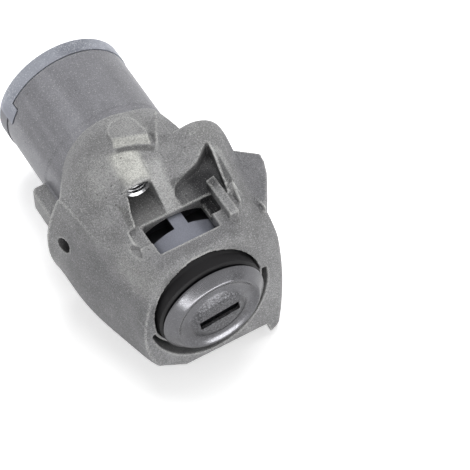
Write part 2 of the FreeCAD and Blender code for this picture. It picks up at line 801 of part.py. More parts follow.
def shutter_room():
    """Chamber in the plug's head in which the shutter swings."""
    half = shutter_width / 2 + shutter_side_gap
    front = shutter_y - shutter_thickness
    knuckle_room = shutter_knuckle_radius + shutter_knuckle_gap
    room = block(-half, half, front, front + shutter_room_depth, -shutter_height / 2, shutter_pin_z)
    pocket = Part.makeCylinder(knuckle_room, 2 * half, Vector(-half, shutter_pin_y, shutter_pin_z),
                               Vector(1, 0, 0))
    front_way = block(-half, half, front - overshoot, shutter_pin_y, shutter_pin_z - knuckle_room / 2,
                      shutter_pin_z + knuckle_room)
    return room.fuse([pocket, front_way])


def wafer_direction(index):
    """Side to which a wafer is sprung: +1 to the right, -1 to the left."""
    return 1 if index % 2 == 0 else -1


def wafer_y(index):
    """Middle of a wafer along the lock."""
    return wafer_first_y + index * wafer_pitch


def wafer_slot(index):
    """Slot across the plug for one wafer, less the tooth that its spring pushes on."""
    half_y = wafer_thickness / 2 + wafer_slot_gap
    half_z = wafer_height / 2 + wafer_slot_gap
    slot = block(-far, far, -half_y, half_y, -half_z, half_z)
    tooth = block(tooth_from_x, tooth_from_x + tooth_width, -half_y, half_y,
                  half_z - wafer_notch_depth, half_z)
    slot = slot.cut(tooth)
    if wafer_direction(index) < 0:
        slot = slot.mirror(origin, Vector(1, 0, 0))
    return slot.translated(Vector(0, wafer_y(index), 0))


def make_plug():
    """Key plug with its head, keyway, wafer slots, clip groove and tail."""
    head_radius = cap_radius - cap_wall - seat_gap
    head_rear_y = cap_length - plug_head_gap
    groove_rear_y = clip_front_y + clip_thickness + 2 * seat_gap
    tail_rear_y = plug_rear_y + plug_tail_length
    plug = turned(((0.0, cap_back_y + seat_gap), (head_radius, cap_back_y + seat_gap),
                   (head_radius, head_rear_y), (plug_neck_radius, head_rear_y),
                   (plug_neck_radius, plug_neck_rear_y), (plug_radius, plug_neck_rear_y),
                   (plug_radius, clip_front_y), (clip_groove_radius, clip_front_y),
                   (clip_groove_radius, groove_rear_y), (plug_end_radius, groove_rear_y),
                   (plug_end_radius, plug_end_y), (plug_tail_radius, plug_end_y),
                   (plug_tail_radius, tail_rear_y), (0.0, tail_rear_y)))
    tang = block(-plug_tang_height / 2, plug_tang_height / 2, tail_rear_y - overlap,
                 tail_rear_y + plug_tang_length, -plug_tang_width / 2, plug_tang_width / 2)
    keyway = rounded_slot(keyway_width, keyway_height, key_slot_corner, 0.0, keyway_end_y)
    pin_way = Part.makeCylinder(shutter_pin_radius + seat_gap, shutter_pin_length + 2 * seat_gap,
                                Vector(-shutter_pin_length / 2 - seat_gap, shutter_pin_y, shutter_pin_z),
                                Vector(1, 0, 0))
    plug = plug.fuse(tang).cut(keyway).cut(shutter_room()).cut(pin_way)
    for index in range(wafer_count):
        plug = plug.cut(wafer_slot(index))
    return turn_to_rest(plug)


def make_plug_clip():
    """Open spring clip that holds the plug in the sleeve."""
    front = clip_front_y + seat_gap
    clip = sector(clip_outer_radius, clip_groove_radius + seat_gap, clip_mouth_deg / 2 - 90,
                  270 - clip_mouth_deg / 2, front, front + clip_thickness)
    return turn_to_rest(clip)


def make_shutter():
    """Dust shutter: a thin flap with a knuckle along its upper edge."""
    half = shutter_width / 2
    flap = block(-half, half, shutter_y, shutter_y + shutter_thickness,
                 shutter_knuckle_gap - shutter_height / 2, shutter_pin_z)
    knuckle = Part.makeCylinder(shutter_knuckle_radius, shutter_width,
                                Vector(-half, shutter_pin_y, shutter_pin_z), Vector(1, 0, 0))
    relief = block(-shutter_relief / 2, shutter_relief / 2, 0, far,
                   shutter_pin_z - shutter_knuckle_radius - free_gap, far)
    pin_way = Part.makeCylinder(shutter_pin_radius + running_gap, far,
                                Vector(-far / 2, shutter_pin_y, shutter_pin_z), Vector(1, 0, 0))
    return turn_to_rest(flap.fuse(knuckle).cut(relief).cut(pin_way))


def make_shutter_pin():
    """Hinge pin of the shutter."""
    pin = Part.makeCylinder(shutter_pin_radius, shutter_pin_length,
                            Vector(-shutter_pin_length / 2, shutter_pin_y, shutter_pin_z), Vector(1, 0, 0))
    return turn_to_rest(pin)


def make_shutter_spring():
    """Small coil round the pin, in the gap of the shutter's knuckle."""
    length = shutter_relief - free_gap
    spring = coil(shutter_spring_radius, shutter_spring_wire, length, shutter_spring_turns, small_coil_sides,
                  Vector(-length / 2, shutter_pin_y, shutter_pin_z), Vector(1, 0, 0))
    return turn_to_rest(spring)


def make_wafer(index):
    """One wafer: a plate with a window for the key, a coding lug and a spring notch."""
    half_y = wafer_thickness / 2
    plate = block(-far, far, -half_y, half_y, -wafer_height / 2, wafer_height / 2)
    plate = plate.common(rod(plug_radius - running_gap, -half_y, half_y))
    window = block(-wafer_window_width / 2, wafer_window_width / 2, -half_y, half_y,
                   -wafer_window_height / 2, wafer_window_height / 2)
    reach = wafer_lug + wafer_code_step * (index % wafer_codes)
    lug = block(wafer_window_width / 2 - reach, wafer_window_width / 2 + overlap, -half_y, half_y,
                -wafer_window_height / 2, wafer_lug_height - wafer_window_height / 2)
    notch_from = tooth_from_x - wafer_lift - running_gap
    notch = block(notch_from, wafer_notch_to_x, -half_y, half_y,
                  wafer_height / 2 - wafer_notch_depth, far)
    plate = plate.cut(window).fuse(lug).cut(notch)
    plate.translate(Vector(wafer_lift, 0, 0))
    if wafer_direction(index) < 0:
        plate = plate.mirror(origin, Vector(1, 0, 0))
    return turn_to_rest(plate.translated(Vector(0, wafer_y(index), 0)))


def make_wafer_spring(index):
    """Coil between the plug's tooth and the end of the wafer's notch."""
    start_x = tooth_from_x + tooth_width + seat_gap
    end_x = wafer_notch_to_x + wafer_lift - seat_gap
    middle_z = wafer_height / 2 - wafer_notch_depth / 2
    spring = coil(wafer_spring_radius, wafer_spring_wire, end_x - start_x, wafer_spring_turns,
                  small_coil_sides, Vector(start_x, 0, middle_z), Vector(1, 0, 0))
    if wafer_direction(index) < 0:
        spring = spring.mirror(origin, Vector(1, 0, 0))
    return turn_to_rest(spring.translated(Vector(0, wafer_y(index), 0)))


def make_sleeve():
    """Zinc plated sleeve round the plug, with two slots under the window."""
    sleeve = tube(sleeve_radius, plug_radius + running_gap, sleeve_front_y, sleeve_rear_y)
    channel_bar = block(-channel_radius, channel_radius, channel_front_y, channel_rear_y,
                        -channel_height / 2, channel_height / 2)
    sleeve = sleeve.cut(turn_to_rest(channel_bar))
    for x_from, x_to in sleeve_slots:
        sleeve = sleeve.cut(block(x_from, x_to, sleeve_slot_front_y, sleeve_slot_rear_y,
                                  sleeve_slot_floor_z, far))
    return sleeve


def dog_slots(gap):
    """Three radial dogs of the clutch, grown by a gap for their slots."""
    half = clutch_dog_width / 2 + gap
    dogs = []
    for angle in clutch_dog_angles:
        dog = block(-half, half, clutch_front_y - clutch_dog_length - gap, clutch_front_y + overlap,
                    clutch_dog_radius - gap, far)
        dog.rotate(origin, face_axis, angle - 90)
        dogs.append(dog)
    return dogs


def make_driver():
    """Output driver: socket on the plug's tang, flange, hub and slotted rear boss."""
    socket_radius = plug_tail_radius + driver_socket_wall
    flange_front_y = flange_rear_y - driver_flange_thickness
    groove_front_y = hub_clip_front_y - seat_gap
    groove_rear_y = hub_clip_front_y + clip_thickness + seat_gap
    driver = turned(((0.0, driver_front_y), (socket_radius, driver_front_y), (socket_radius, flange_front_y),
                     (driver_flange_radius, flange_front_y), (driver_flange_radius, flange_rear_y),
                     (driver_hub_radius, flange_rear_y), (driver_hub_radius, groove_front_y),
                     (hub_clip_groove_radius, groove_front_y), (hub_clip_groove_radius, groove_rear_y),
                     (driver_hub_radius, groove_rear_y), (driver_hub_radius, driver_hub_rear_y),
                     (driver_boss_radius, driver_hub_rear_y), (driver_boss_radius, driver_boss_rear_y),
                     (0.0, driver_boss_rear_y)))
    tail_rear_y = plug_rear_y + plug_tail_length
    socket = rod(plug_tail_radius + running_gap, 0, tail_rear_y + running_gap)
    half_height = plug_tang_height / 2 + running_gap
    half_width = plug_tang_width / 2 + running_gap
    tang_slot = block(-half_height, half_height, tail_rear_y - overshoot,
                      tail_rear_y + plug_tang_length + running_gap, -half_width, half_width)
    rear_slot = rounded_slot(driver_slot_width, driver_slot_height, driver_slot_corner,
                             driver_boss_rear_y - driver_slot_depth, driver_boss_rear_y + overshoot)
    driver = driver.cut(socket).cut(turn_to_rest(tang_slot)).cut(rear_slot)
    for slot in dog_slots(clutch_dog_gap):
        driver = driver.cut(slot)
    return driver


def make_clutch_ring():
    """Ring that slides on the driver's hub, with three dogs in the flange."""
    ring = tube(clutch_outer_radius, driver_hub_radius + running_gap, clutch_front_y, clutch_rear_y)
    limit = tube(clutch_outer_radius, clutch_dog_radius, clutch_front_y - clutch_dog_length,
                 clutch_front_y + overlap)
    dogs = [dog.common(limit) for dog in dog_slots(0.0)]
    return ring.fuse(dogs)


def make_clutch_spring():
    """Coil that holds the clutch ring against the driver's flange."""
    return coil(clutch_spring_radius, clutch_spring_wire, clutch_spring_length, clutch_spring_turns,
                large_coil_sides, Vector(0, clutch_spring_front_y, 0), axis_y)


def make_spring_washer():
    """Plain washer behind the clutch spring."""
    return tube(spring_washer_radius, driver_hub_radius + running_gap, spring_washer_front_y,
                spring_washer_front_y + spring_washer_thickness)


def make_hub_clip():
    """Open clip in the hub's groove."""
    return sector(hub_clip_radius, hub_clip_groove_radius + seat_gap, clip_mouth_deg / 2 - 90,
                  270 - clip_mouth_deg / 2, hub_clip_front_y, hub_clip_front_y + clip_thickness)


def make_return_spring():
    """Coil that brings the rotor back to rest."""
    return coil(return_spring_radius, return_spring_wire, return_spring_length, return_spring_turns,
                large_coil_sides, Vector(0, return_spring_front_y, 0), axis_y)


def all_nodes():
    """Every piece of the lock by name."""
    nodes = {
        "housing": make_housing(),
        "rear_cap": make_rear_cap(),
        "mouth_seal": make_mouth_seal(),
        "sleeve": make_sleeve(),
        "plug": make_plug(),
        "plug_clip": make_plug_clip(),
        "face_cap": make_face_cap(),
        "shutter": make_shutter(),
        "shutter_pin": make_shutter_pin(),
        "shutter_spring": make_shutter_spring(),
        "driver": make_driver(),
        "clutch_ring": make_clutch_ring(),
        "clutch_spring": make_clutch_spring(),
        "spring_washer": make_spring_washer(),
        "hub_clip": make_hub_clip(),
        "return_spring": make_return_spring(),
    }
    for index in range(wafer_count):
        nodes["wafer_%d" % (index + 1)] = make_wafer(index)
        nodes["wafer_spring_%d" % (index + 1)] = make_wafer_spring(index)
    return nodes


os.makedirs("parts", exist_ok=True)
for name, shape in all_nodes().items():
    shape.exportStep(os.path.join("parts", name + ".step"))
    print("%-18s solids %d  volume %9.2f" % (name, len(shape.Solids), shape.Volume))
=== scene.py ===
"""Looks of the car door lock cylinder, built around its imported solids.

Everything is in the part's own frame, in metres: X to the right of someone who faces the key
slot, Y from the face towards the rear, Z up.
"""

import json
import logging
import math
from contextlib import contextmanager
from dataclasses import dataclass, field
from enum import Enum
from typing import Dict, Iterator, List, Optional, Sequence, Tuple, Union

import bpy
from mathutils import Matrix, Vector

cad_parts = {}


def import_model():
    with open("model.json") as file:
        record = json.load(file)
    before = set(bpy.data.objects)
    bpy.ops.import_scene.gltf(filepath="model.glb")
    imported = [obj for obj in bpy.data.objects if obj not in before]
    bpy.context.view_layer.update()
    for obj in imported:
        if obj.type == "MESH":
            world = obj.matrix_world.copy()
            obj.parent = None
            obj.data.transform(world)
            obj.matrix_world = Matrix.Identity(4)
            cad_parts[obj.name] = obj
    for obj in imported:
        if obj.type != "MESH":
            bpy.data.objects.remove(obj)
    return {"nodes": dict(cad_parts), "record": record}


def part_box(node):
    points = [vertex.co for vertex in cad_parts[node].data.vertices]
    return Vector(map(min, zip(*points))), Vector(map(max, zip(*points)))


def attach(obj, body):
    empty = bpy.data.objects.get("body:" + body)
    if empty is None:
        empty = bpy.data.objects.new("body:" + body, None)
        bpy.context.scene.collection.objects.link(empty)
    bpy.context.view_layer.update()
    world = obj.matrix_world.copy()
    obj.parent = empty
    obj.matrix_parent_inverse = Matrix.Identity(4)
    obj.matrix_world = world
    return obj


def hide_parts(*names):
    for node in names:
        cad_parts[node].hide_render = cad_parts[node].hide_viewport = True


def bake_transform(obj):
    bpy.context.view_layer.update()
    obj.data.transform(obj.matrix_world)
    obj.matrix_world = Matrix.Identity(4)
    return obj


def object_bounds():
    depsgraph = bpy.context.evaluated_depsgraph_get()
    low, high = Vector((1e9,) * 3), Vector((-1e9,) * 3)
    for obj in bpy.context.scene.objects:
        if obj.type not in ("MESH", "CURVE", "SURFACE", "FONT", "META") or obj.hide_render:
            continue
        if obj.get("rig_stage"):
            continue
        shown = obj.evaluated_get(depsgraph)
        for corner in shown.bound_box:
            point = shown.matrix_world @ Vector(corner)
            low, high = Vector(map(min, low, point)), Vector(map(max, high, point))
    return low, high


LOG = logging.getLogger("lock_looks")

MM = 0.001
PHOTO_PIXELS = 470

Colour = Tuple[float, float, float, float]
Point = Tuple[float, float, float]
Span = Tuple[float, float]
Material = bpy.types.Material
Node = bpy.types.Node
Piece = bpy.types.Object
Socket = bpy.types.NodeSocket
Sockets = bpy.types.bpy_prop_collection
Look = Dict[str, object]
Made = Dict[str, Socket]

WHITE: Colour = (1.0, 1.0, 1.0, 1.0)


class Body(Enum):
    """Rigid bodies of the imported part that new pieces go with."""

    LOCK = "lock_body"
    ROTOR = "rotor"
    FLAP = "shutter_flap"
    CLUTCH = "clutch"


class Slot(Enum):
    """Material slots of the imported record."""

    CASTING = "zinc_casting"
    PLATED = "plated_zinc"
    REAR_CAP = "rear_cap_steel"
    STAINLESS = "stainless"
    SPRING = "spring_steel"
    BRASS = "wafer_brass"
    RUBBER = "seal_rubber"


def tone(red: float, green: float, blue: float) -> Colour:
    """Turn a colour seen on a screen, 0 to 255 a channel, into the linear colour of a socket.

    Args:
        red, green, blue: channels of the colour.

    Returns:
        The colour after the sRGB curve is undone.
    """
    channels = []
    for value in (red, green, blue):
        part = value / 255.0
        channels.append(part / 12.92 if part <= 0.04045 else ((part + 0.055) / 1.055) ** 2.4)
    return (channels[0], channels[1], channels[2], 1.0)


class Shader:
    """Short typed calls for the nodes of one tree."""

    openness_rays: int = 3

    def __init__(self, tree: bpy.types.NodeTree) -> None:
        """Keep the tree of a material, the world or a group."""
        self.tree = tree

    def feed(self, target: Socket, value: object) -> None:
        """Link a socket to an input, or set the input to a plain value.

        Args:
            target: the input.
            value: socket, number or tuple.
        """
        if isinstance(value, Socket):
            self.tree.links.new(value, target)
        else:
            target.default_value = value

    def add(self, kind: str, feeds: Optional[Dict[Union[str, int], object]] = None,
            **values: object) -> Node:
        """Add a node.

        Args:
            kind: Blender's name of the node type.
            feeds: socket or value for each input, by its name or number.
            values: properties of the node, by name.

        Returns:
            The new node.
        """
        node = self.tree.nodes.new(kind)
        for name, value in values.items():
            setattr(node, name, value)
        for key, value in (feeds or {}).items():
            self.feed(node.inputs[key], value)
        return node

    def math(self, operation: str, first: object, second: object = 0.0, clamp: bool = False) -> Socket:
        """Work out one value from two by a named operation, and keep it from 0 to 1 if asked."""
        return self.add("ShaderNodeMath", {0: first, 1: second}, operation=operation,
                        use_clamp=clamp).outputs[0]

    def times(self, first: object, second: object) -> Socket:
        """Multiply two values."""
        return self.math("MULTIPLY", first, second)

    def plus(self, first: object, second: object, clamp: bool = False) -> Socket:
        """Add two values."""
        return self.math("ADD", first, second, clamp)

    def minus(self, first: object, second: object) -> Socket:
        """Take the second value from the first."""
        return self.math("SUBTRACT", first, second)

    def rest(self, share: object) -> Socket:
        """What a share leaves of 1."""
        return self.minus(1.0, share)

    def step(self, value: object, low: object, high: object) -> Socket:
        """Map a value smoothly from 0 at low to 1 at high."""
        return self.add("ShaderNodeMapRange", {"Value": value, "From Min": low, "From Max": high},
                        interpolation_type="SMOOTHSTEP").outputs["Result"]

    def spread(self, value: object, low: float, high: float) -> Socket:
        """Map a value of 0 to 1 onto low to high."""
        return self.add("ShaderNodeMapRange",
                        {"Value": value, "To Min": low, "To Max": high}).outputs["Result"]

    def mix(self, share: object, first: object, second: object) -> Socket:
        """Mix two colours, share being that of the second."""
        return self.add("ShaderNodeMix", {0: share, 6: first, 7: second}, data_type="RGBA").outputs[2]

    def shaded(self, colour: object, level: object) -> Socket:
        """Multiply a colour by a level."""
        grey = self.add("ShaderNodeCombineColor", {0: level, 1: level, 2: level}).outputs[0]
        return self.add("ShaderNodeMix", {0: 1.0, 6: colour, 7: grey}, data_type="RGBA",
                        blend_type="MULTIPLY", clamp_result=False).outputs[2]

    def layered(self, colour: object, *layers: Tuple[Socket, object]) -> Socket:
        """Lay colours over one another.

        Args:
            colour: the lowest colour.
            layers: share and colour of each one above it.

        Returns:
            The colour that shows.
        """
        for share, over in layers:
            colour = self.mix(share, colour, over)
        return colour

    def place(self, scale: Point = (1.0, 1.0, 1.0)) -> Socket:
        """Object coordinates, stretched by a scale."""
        here = self.add("ShaderNodeTexCoord").outputs["Object"]
        return self.add("ShaderNodeMapping", {"Scale": scale, "Vector": here}).outputs["Vector"]

    def noise(self, vector: Socket, scale: float, detail: float = 3.0, roughness: float = 0.55) -> Socket:
        """Noise of 0 to 1 at a number of features a metre."""
        return self.add("ShaderNodeTexNoise", {"Vector": vector, "Scale": scale, "Detail": detail,
                                               "Roughness": roughness}).outputs["Fac"]

    def axes(self, vector: Socket) -> Node:
        """Split a place into its X, Y and Z."""
        return self.add("ShaderNodeSeparateXYZ", {0: vector})

    def length(self, first: object, second: object) -> Socket:
        """Length of the line that goes a first distance one way and a second square to it."""
        squares = self.plus(self.math("POWER", first, 2.0), self.math("POWER", second, 2.0))
        return self.math("SQRT", squares)

    def radius(self, axes: Node) -> Socket:
        """Distance from the lock's axis."""
        return self.length(axes.outputs["X"], axes.outputs["Z"])

    def openness(self, reach_mm: float, inside: bool) -> Socket:
        """Share of directions that stay free for reach_mm, above the surface or inside the solid."""
        return self.add("ShaderNodeAmbientOcclusion", {"Distance": reach_mm * MM}, inside=inside,
                        only_local=True, samples=self.openness_rays).outputs["AO"]

    def relief(self, height: Socket, strength: float, depth_mm: float) -> Socket:
        """Normal of a relief, where a height of 1 stands for depth_mm and strength is how much shows."""
        return self.add("ShaderNodeBump", {"Strength": strength, "Distance": depth_mm * MM,
                                           "Height": height}).outputs["Normal"]


class SharedEffect:
    """A node group that more than one finish places with its own values."""

    name: str = ""
    inputs: Dict[str, float] = {}
    outputs: Tuple[str, ...] = ()

    def wire(self, shader: Shader, given: Sockets) -> Made:
        """Work out the group's outputs.

        Args:
            shader: tree of the group.
            given: sockets of the group's inputs, by name.

        Returns:
            The socket of each output, by name.
        """
        raise NotImplementedError

    def group(self) -> bpy.types.NodeTree:
        """Build the group once.

        Returns:
            The group.
        """
        known = bpy.data.node_groups.get(self.name)
        if known is not None:
            return known
        tree = bpy.data.node_groups.new(self.name, "ShaderNodeTree")
        for label, value in self.inputs.items():
            socket = tree.interface.new_socket(name=label, in_out="INPUT", socket_type="NodeSocketFloat")
            socket.default_value = value
        for label in self.outputs:
            tree.interface.new_socket(name=label, in_out="OUTPUT", socket_type="NodeSocketFloat")
        shader = Shader(tree)
        given = shader.add("NodeGroupInput").outputs
        shader.add("NodeGroupOutput", self.wire(shader, given))
        return tree

    def put(self, shader: Shader, values: Dict[str, float]) -> Sockets:
        """Place the group in a material.

        Args:
            shader: tree that receives the group.
            values: inputs of the group, by name.

        Returns:
            The sockets of the group's outputs.
        """
        return shader.add("ShaderNodeGroup", values, node_tree=self.group()).outputs


class SandGrain(SharedEffect):
    """Grain of a die cast or blasted skin: small lumps, pits and a soft mottle.

    The gate is a coarser noise that keeps some of the pits. The height takes its shares of the lumps and the
    speckle, and the mottle takes its shares of the patches, the lumps and the speckle.
    """

    name = "sand_grain"
    inputs = {"Coarseness": 1.0, "Pits": 0.5}
    outputs = ("Height", "Mottle", "Pit mask")

    lumps_per_metre: float = 3000.0
    speckle_per_metre: float = 4600.0
    patches_per_metre: float = 170.0
    pits_per_metre: float = 620.0
    gate_scale: float = 0.4
    gate_step: Span = (0.56, 0.62)
    pit_step: Span = (0.02, 0.16)
    pit_depth: float = 0.9
    height_shares: Span = (0.6, 0.4)
    mottle_shares: Point = (0.25, 0.4, 0.35)

    def wire(self, shader: Shader, given: Sockets) -> Made:
        """Sum fine lumps and speckle, and sink a pit where the cell noise is low."""
        where = shader.add("ShaderNodeVectorMath", {0: shader.place(), "Scale": given["Coarseness"]},
                           operation="SCALE").outputs["Vector"]
        lumps = shader.noise(where, self.lumps_per_metre, roughness=0.75)
        speckle = shader.noise(where, self.speckle_per_metre, detail=1.0)
        patches = shader.noise(where, self.patches_per_metre, detail=4.0, roughness=0.6)
        cells = shader.add("ShaderNodeTexVoronoi", {"Vector": where, "Scale": self.pits_per_metre})
        gate_noise = shader.noise(where, self.pits_per_metre * self.gate_scale, detail=1.0)
        near = shader.rest(shader.step(cells.outputs["Distance"], *self.pit_step))
        pit = shader.times(shader.times(near, shader.step(gate_noise, *self.gate_step)), given["Pits"])
        of_lumps, of_speckle = self.height_shares
        rough = shader.plus(shader.times(lumps, of_lumps), shader.times(speckle, of_speckle))
        of_patches, of_lumps, of_speckle = self.mottle_shares
        fine = shader.plus(shader.times(lumps, of_lumps), shader.times(speckle, of_speckle))
        return {"Height": shader.minus(rough, shader.times(pit, self.pit_depth)),
                "Mottle": shader.plus(shader.times(patches, of_patches), fine),
                "Pit mask": pit}


class Scuffs(SharedEffect):
    """Thin scratches that run along Y, where a stretched noise crests."""

    name = "scuffs"
    inputs = {"Amount": 0.5}
    outputs = ("Scratch",)

    stretch: Point = (1.0, 0.035, 1.0)
    scratches_per_metre: float = 1500.0
    crest_step: Span = (0.66, 0.72)

    def wire(self, shader: Shader, given: Sockets) -> Made:
        """Keep only the crests of a stretched noise, scaled by the amount."""
        lines = shader.noise(shader.place(self.stretch), self.scratches_per_metre, detail=2.0)
        return {"Scratch": shader.times(shader.step(lines, *self.crest_step), given["Amount"])}


class BoxMask(SharedEffect):
    """A box with soft edges in the lock's frame: 1 inside it and 0 outside."""

    name = "box_mask"
    inputs = {"Low X": 0.0, "Low Y": 0.0, "Low Z": 0.0, "High X": 1.0, "High Y": 1.0, "High Z": 1.0,
              "Soft": 0.0003, "Turn": 0.0}
    outputs = ("Mask",)

    def wire(self, shader: Shader, given: Sockets) -> Made:
        """Turn the place back about the box's upright middle line, and find the share inside on each axis."""
        ends = {axis: (given["Low " + axis], given["High " + axis]) for axis in "XYZ"}
        middle = shader.add("ShaderNodeCombineXYZ",
                            {axis: shader.times(shader.plus(*both), 0.5) for axis, both in ends.items()})
        turned = shader.add("ShaderNodeVectorRotate",
                            {"Vector": shader.place(), "Center": middle.outputs[0],
                             "Angle": shader.times(given["Turn"], -1.0)}, rotation_type="Z_AXIS")
        where = shader.axes(turned.outputs["Vector"]).outputs
        soft = given["Soft"]
        mask: object = 1.0
        for axis, both in ends.items():
            rise, past = (shader.step(where[axis], shader.minus(end, soft), shader.plus(end, soft))
                          for end in both)
            mask = shader.times(mask, shader.times(rise, shader.rest(past)))
        return {"Mask": mask}


@dataclass(frozen=True)
class LightShadePatch:
    """A place on a piece painted lighter where light falls, or darker where shade falls.

    Attributes:
        low_mm: lowest corner of its box.
        high_mm: highest corner of its box.
        colour: colour painted inside the box for the light or the shade there.
        soft_mm: distance over which the colour fades, either side of each face.
        turn_deg: turn of the box about its own upright middle line.
        share: how much of the colour shows.
    """

    low_mm: Point
    high_mm: Point
    colour: Colour
    soft_mm: float = 0.4
    turn_deg: float = 0.0
    share: float = 1.0

    def layer(self, shader: Shader) -> Tuple[Socket, Colour]:
        """Make a layer of the patch.

        Args:
            shader: tree of the material.

        Returns:
            Where and how much the patch shows, and its colour.
        """
        box = {end + axis: value * MM for end, corner in (("Low ", self.low_mm), ("High ", self.high_mm))
               for axis, value in zip("XYZ", corner)}
        box.update({"Soft": self.soft_mm * MM, "Turn": math.radians(self.turn_deg)})
        mask = BoxMask().put(shader, box)["Mask"]
        return shader.times(mask, self.share), self.colour


@dataclass(frozen=True)
class Finish:
    """What every finish of the lock shares.

    In each finish a step is the range over which a mark begins and a share is how much of it shows.
    Roughness is the lowest and the highest one, relief is a strength and a depth in millimetres, and
    coarseness, pits and scratches are what the shared effects are given.

    Attributes:
        label: name of the material.
        slot: material slot of the record that it dresses.
    """

    label: str
    slot: Slot

    def look(self, shader: Shader) -> Look:
        """Work out the surface.

        Args:
            shader: tree of the material.

        Returns:
            Socket or value for the inputs of the Principled node, by name.
        """
        raise NotImplementedError

    def build(self) -> Material:
        """Make the material.

        Returns:
            The finished material.
        """
        material = bpy.data.materials.new(self.label)
        material.use_nodes = True
        shader = Shader(material.node_tree)
        surface = material.node_tree.nodes["Principled BSDF"]
        for name, value in self.look(shader).items():
            shader.feed(surface.inputs[name], value)
        return material


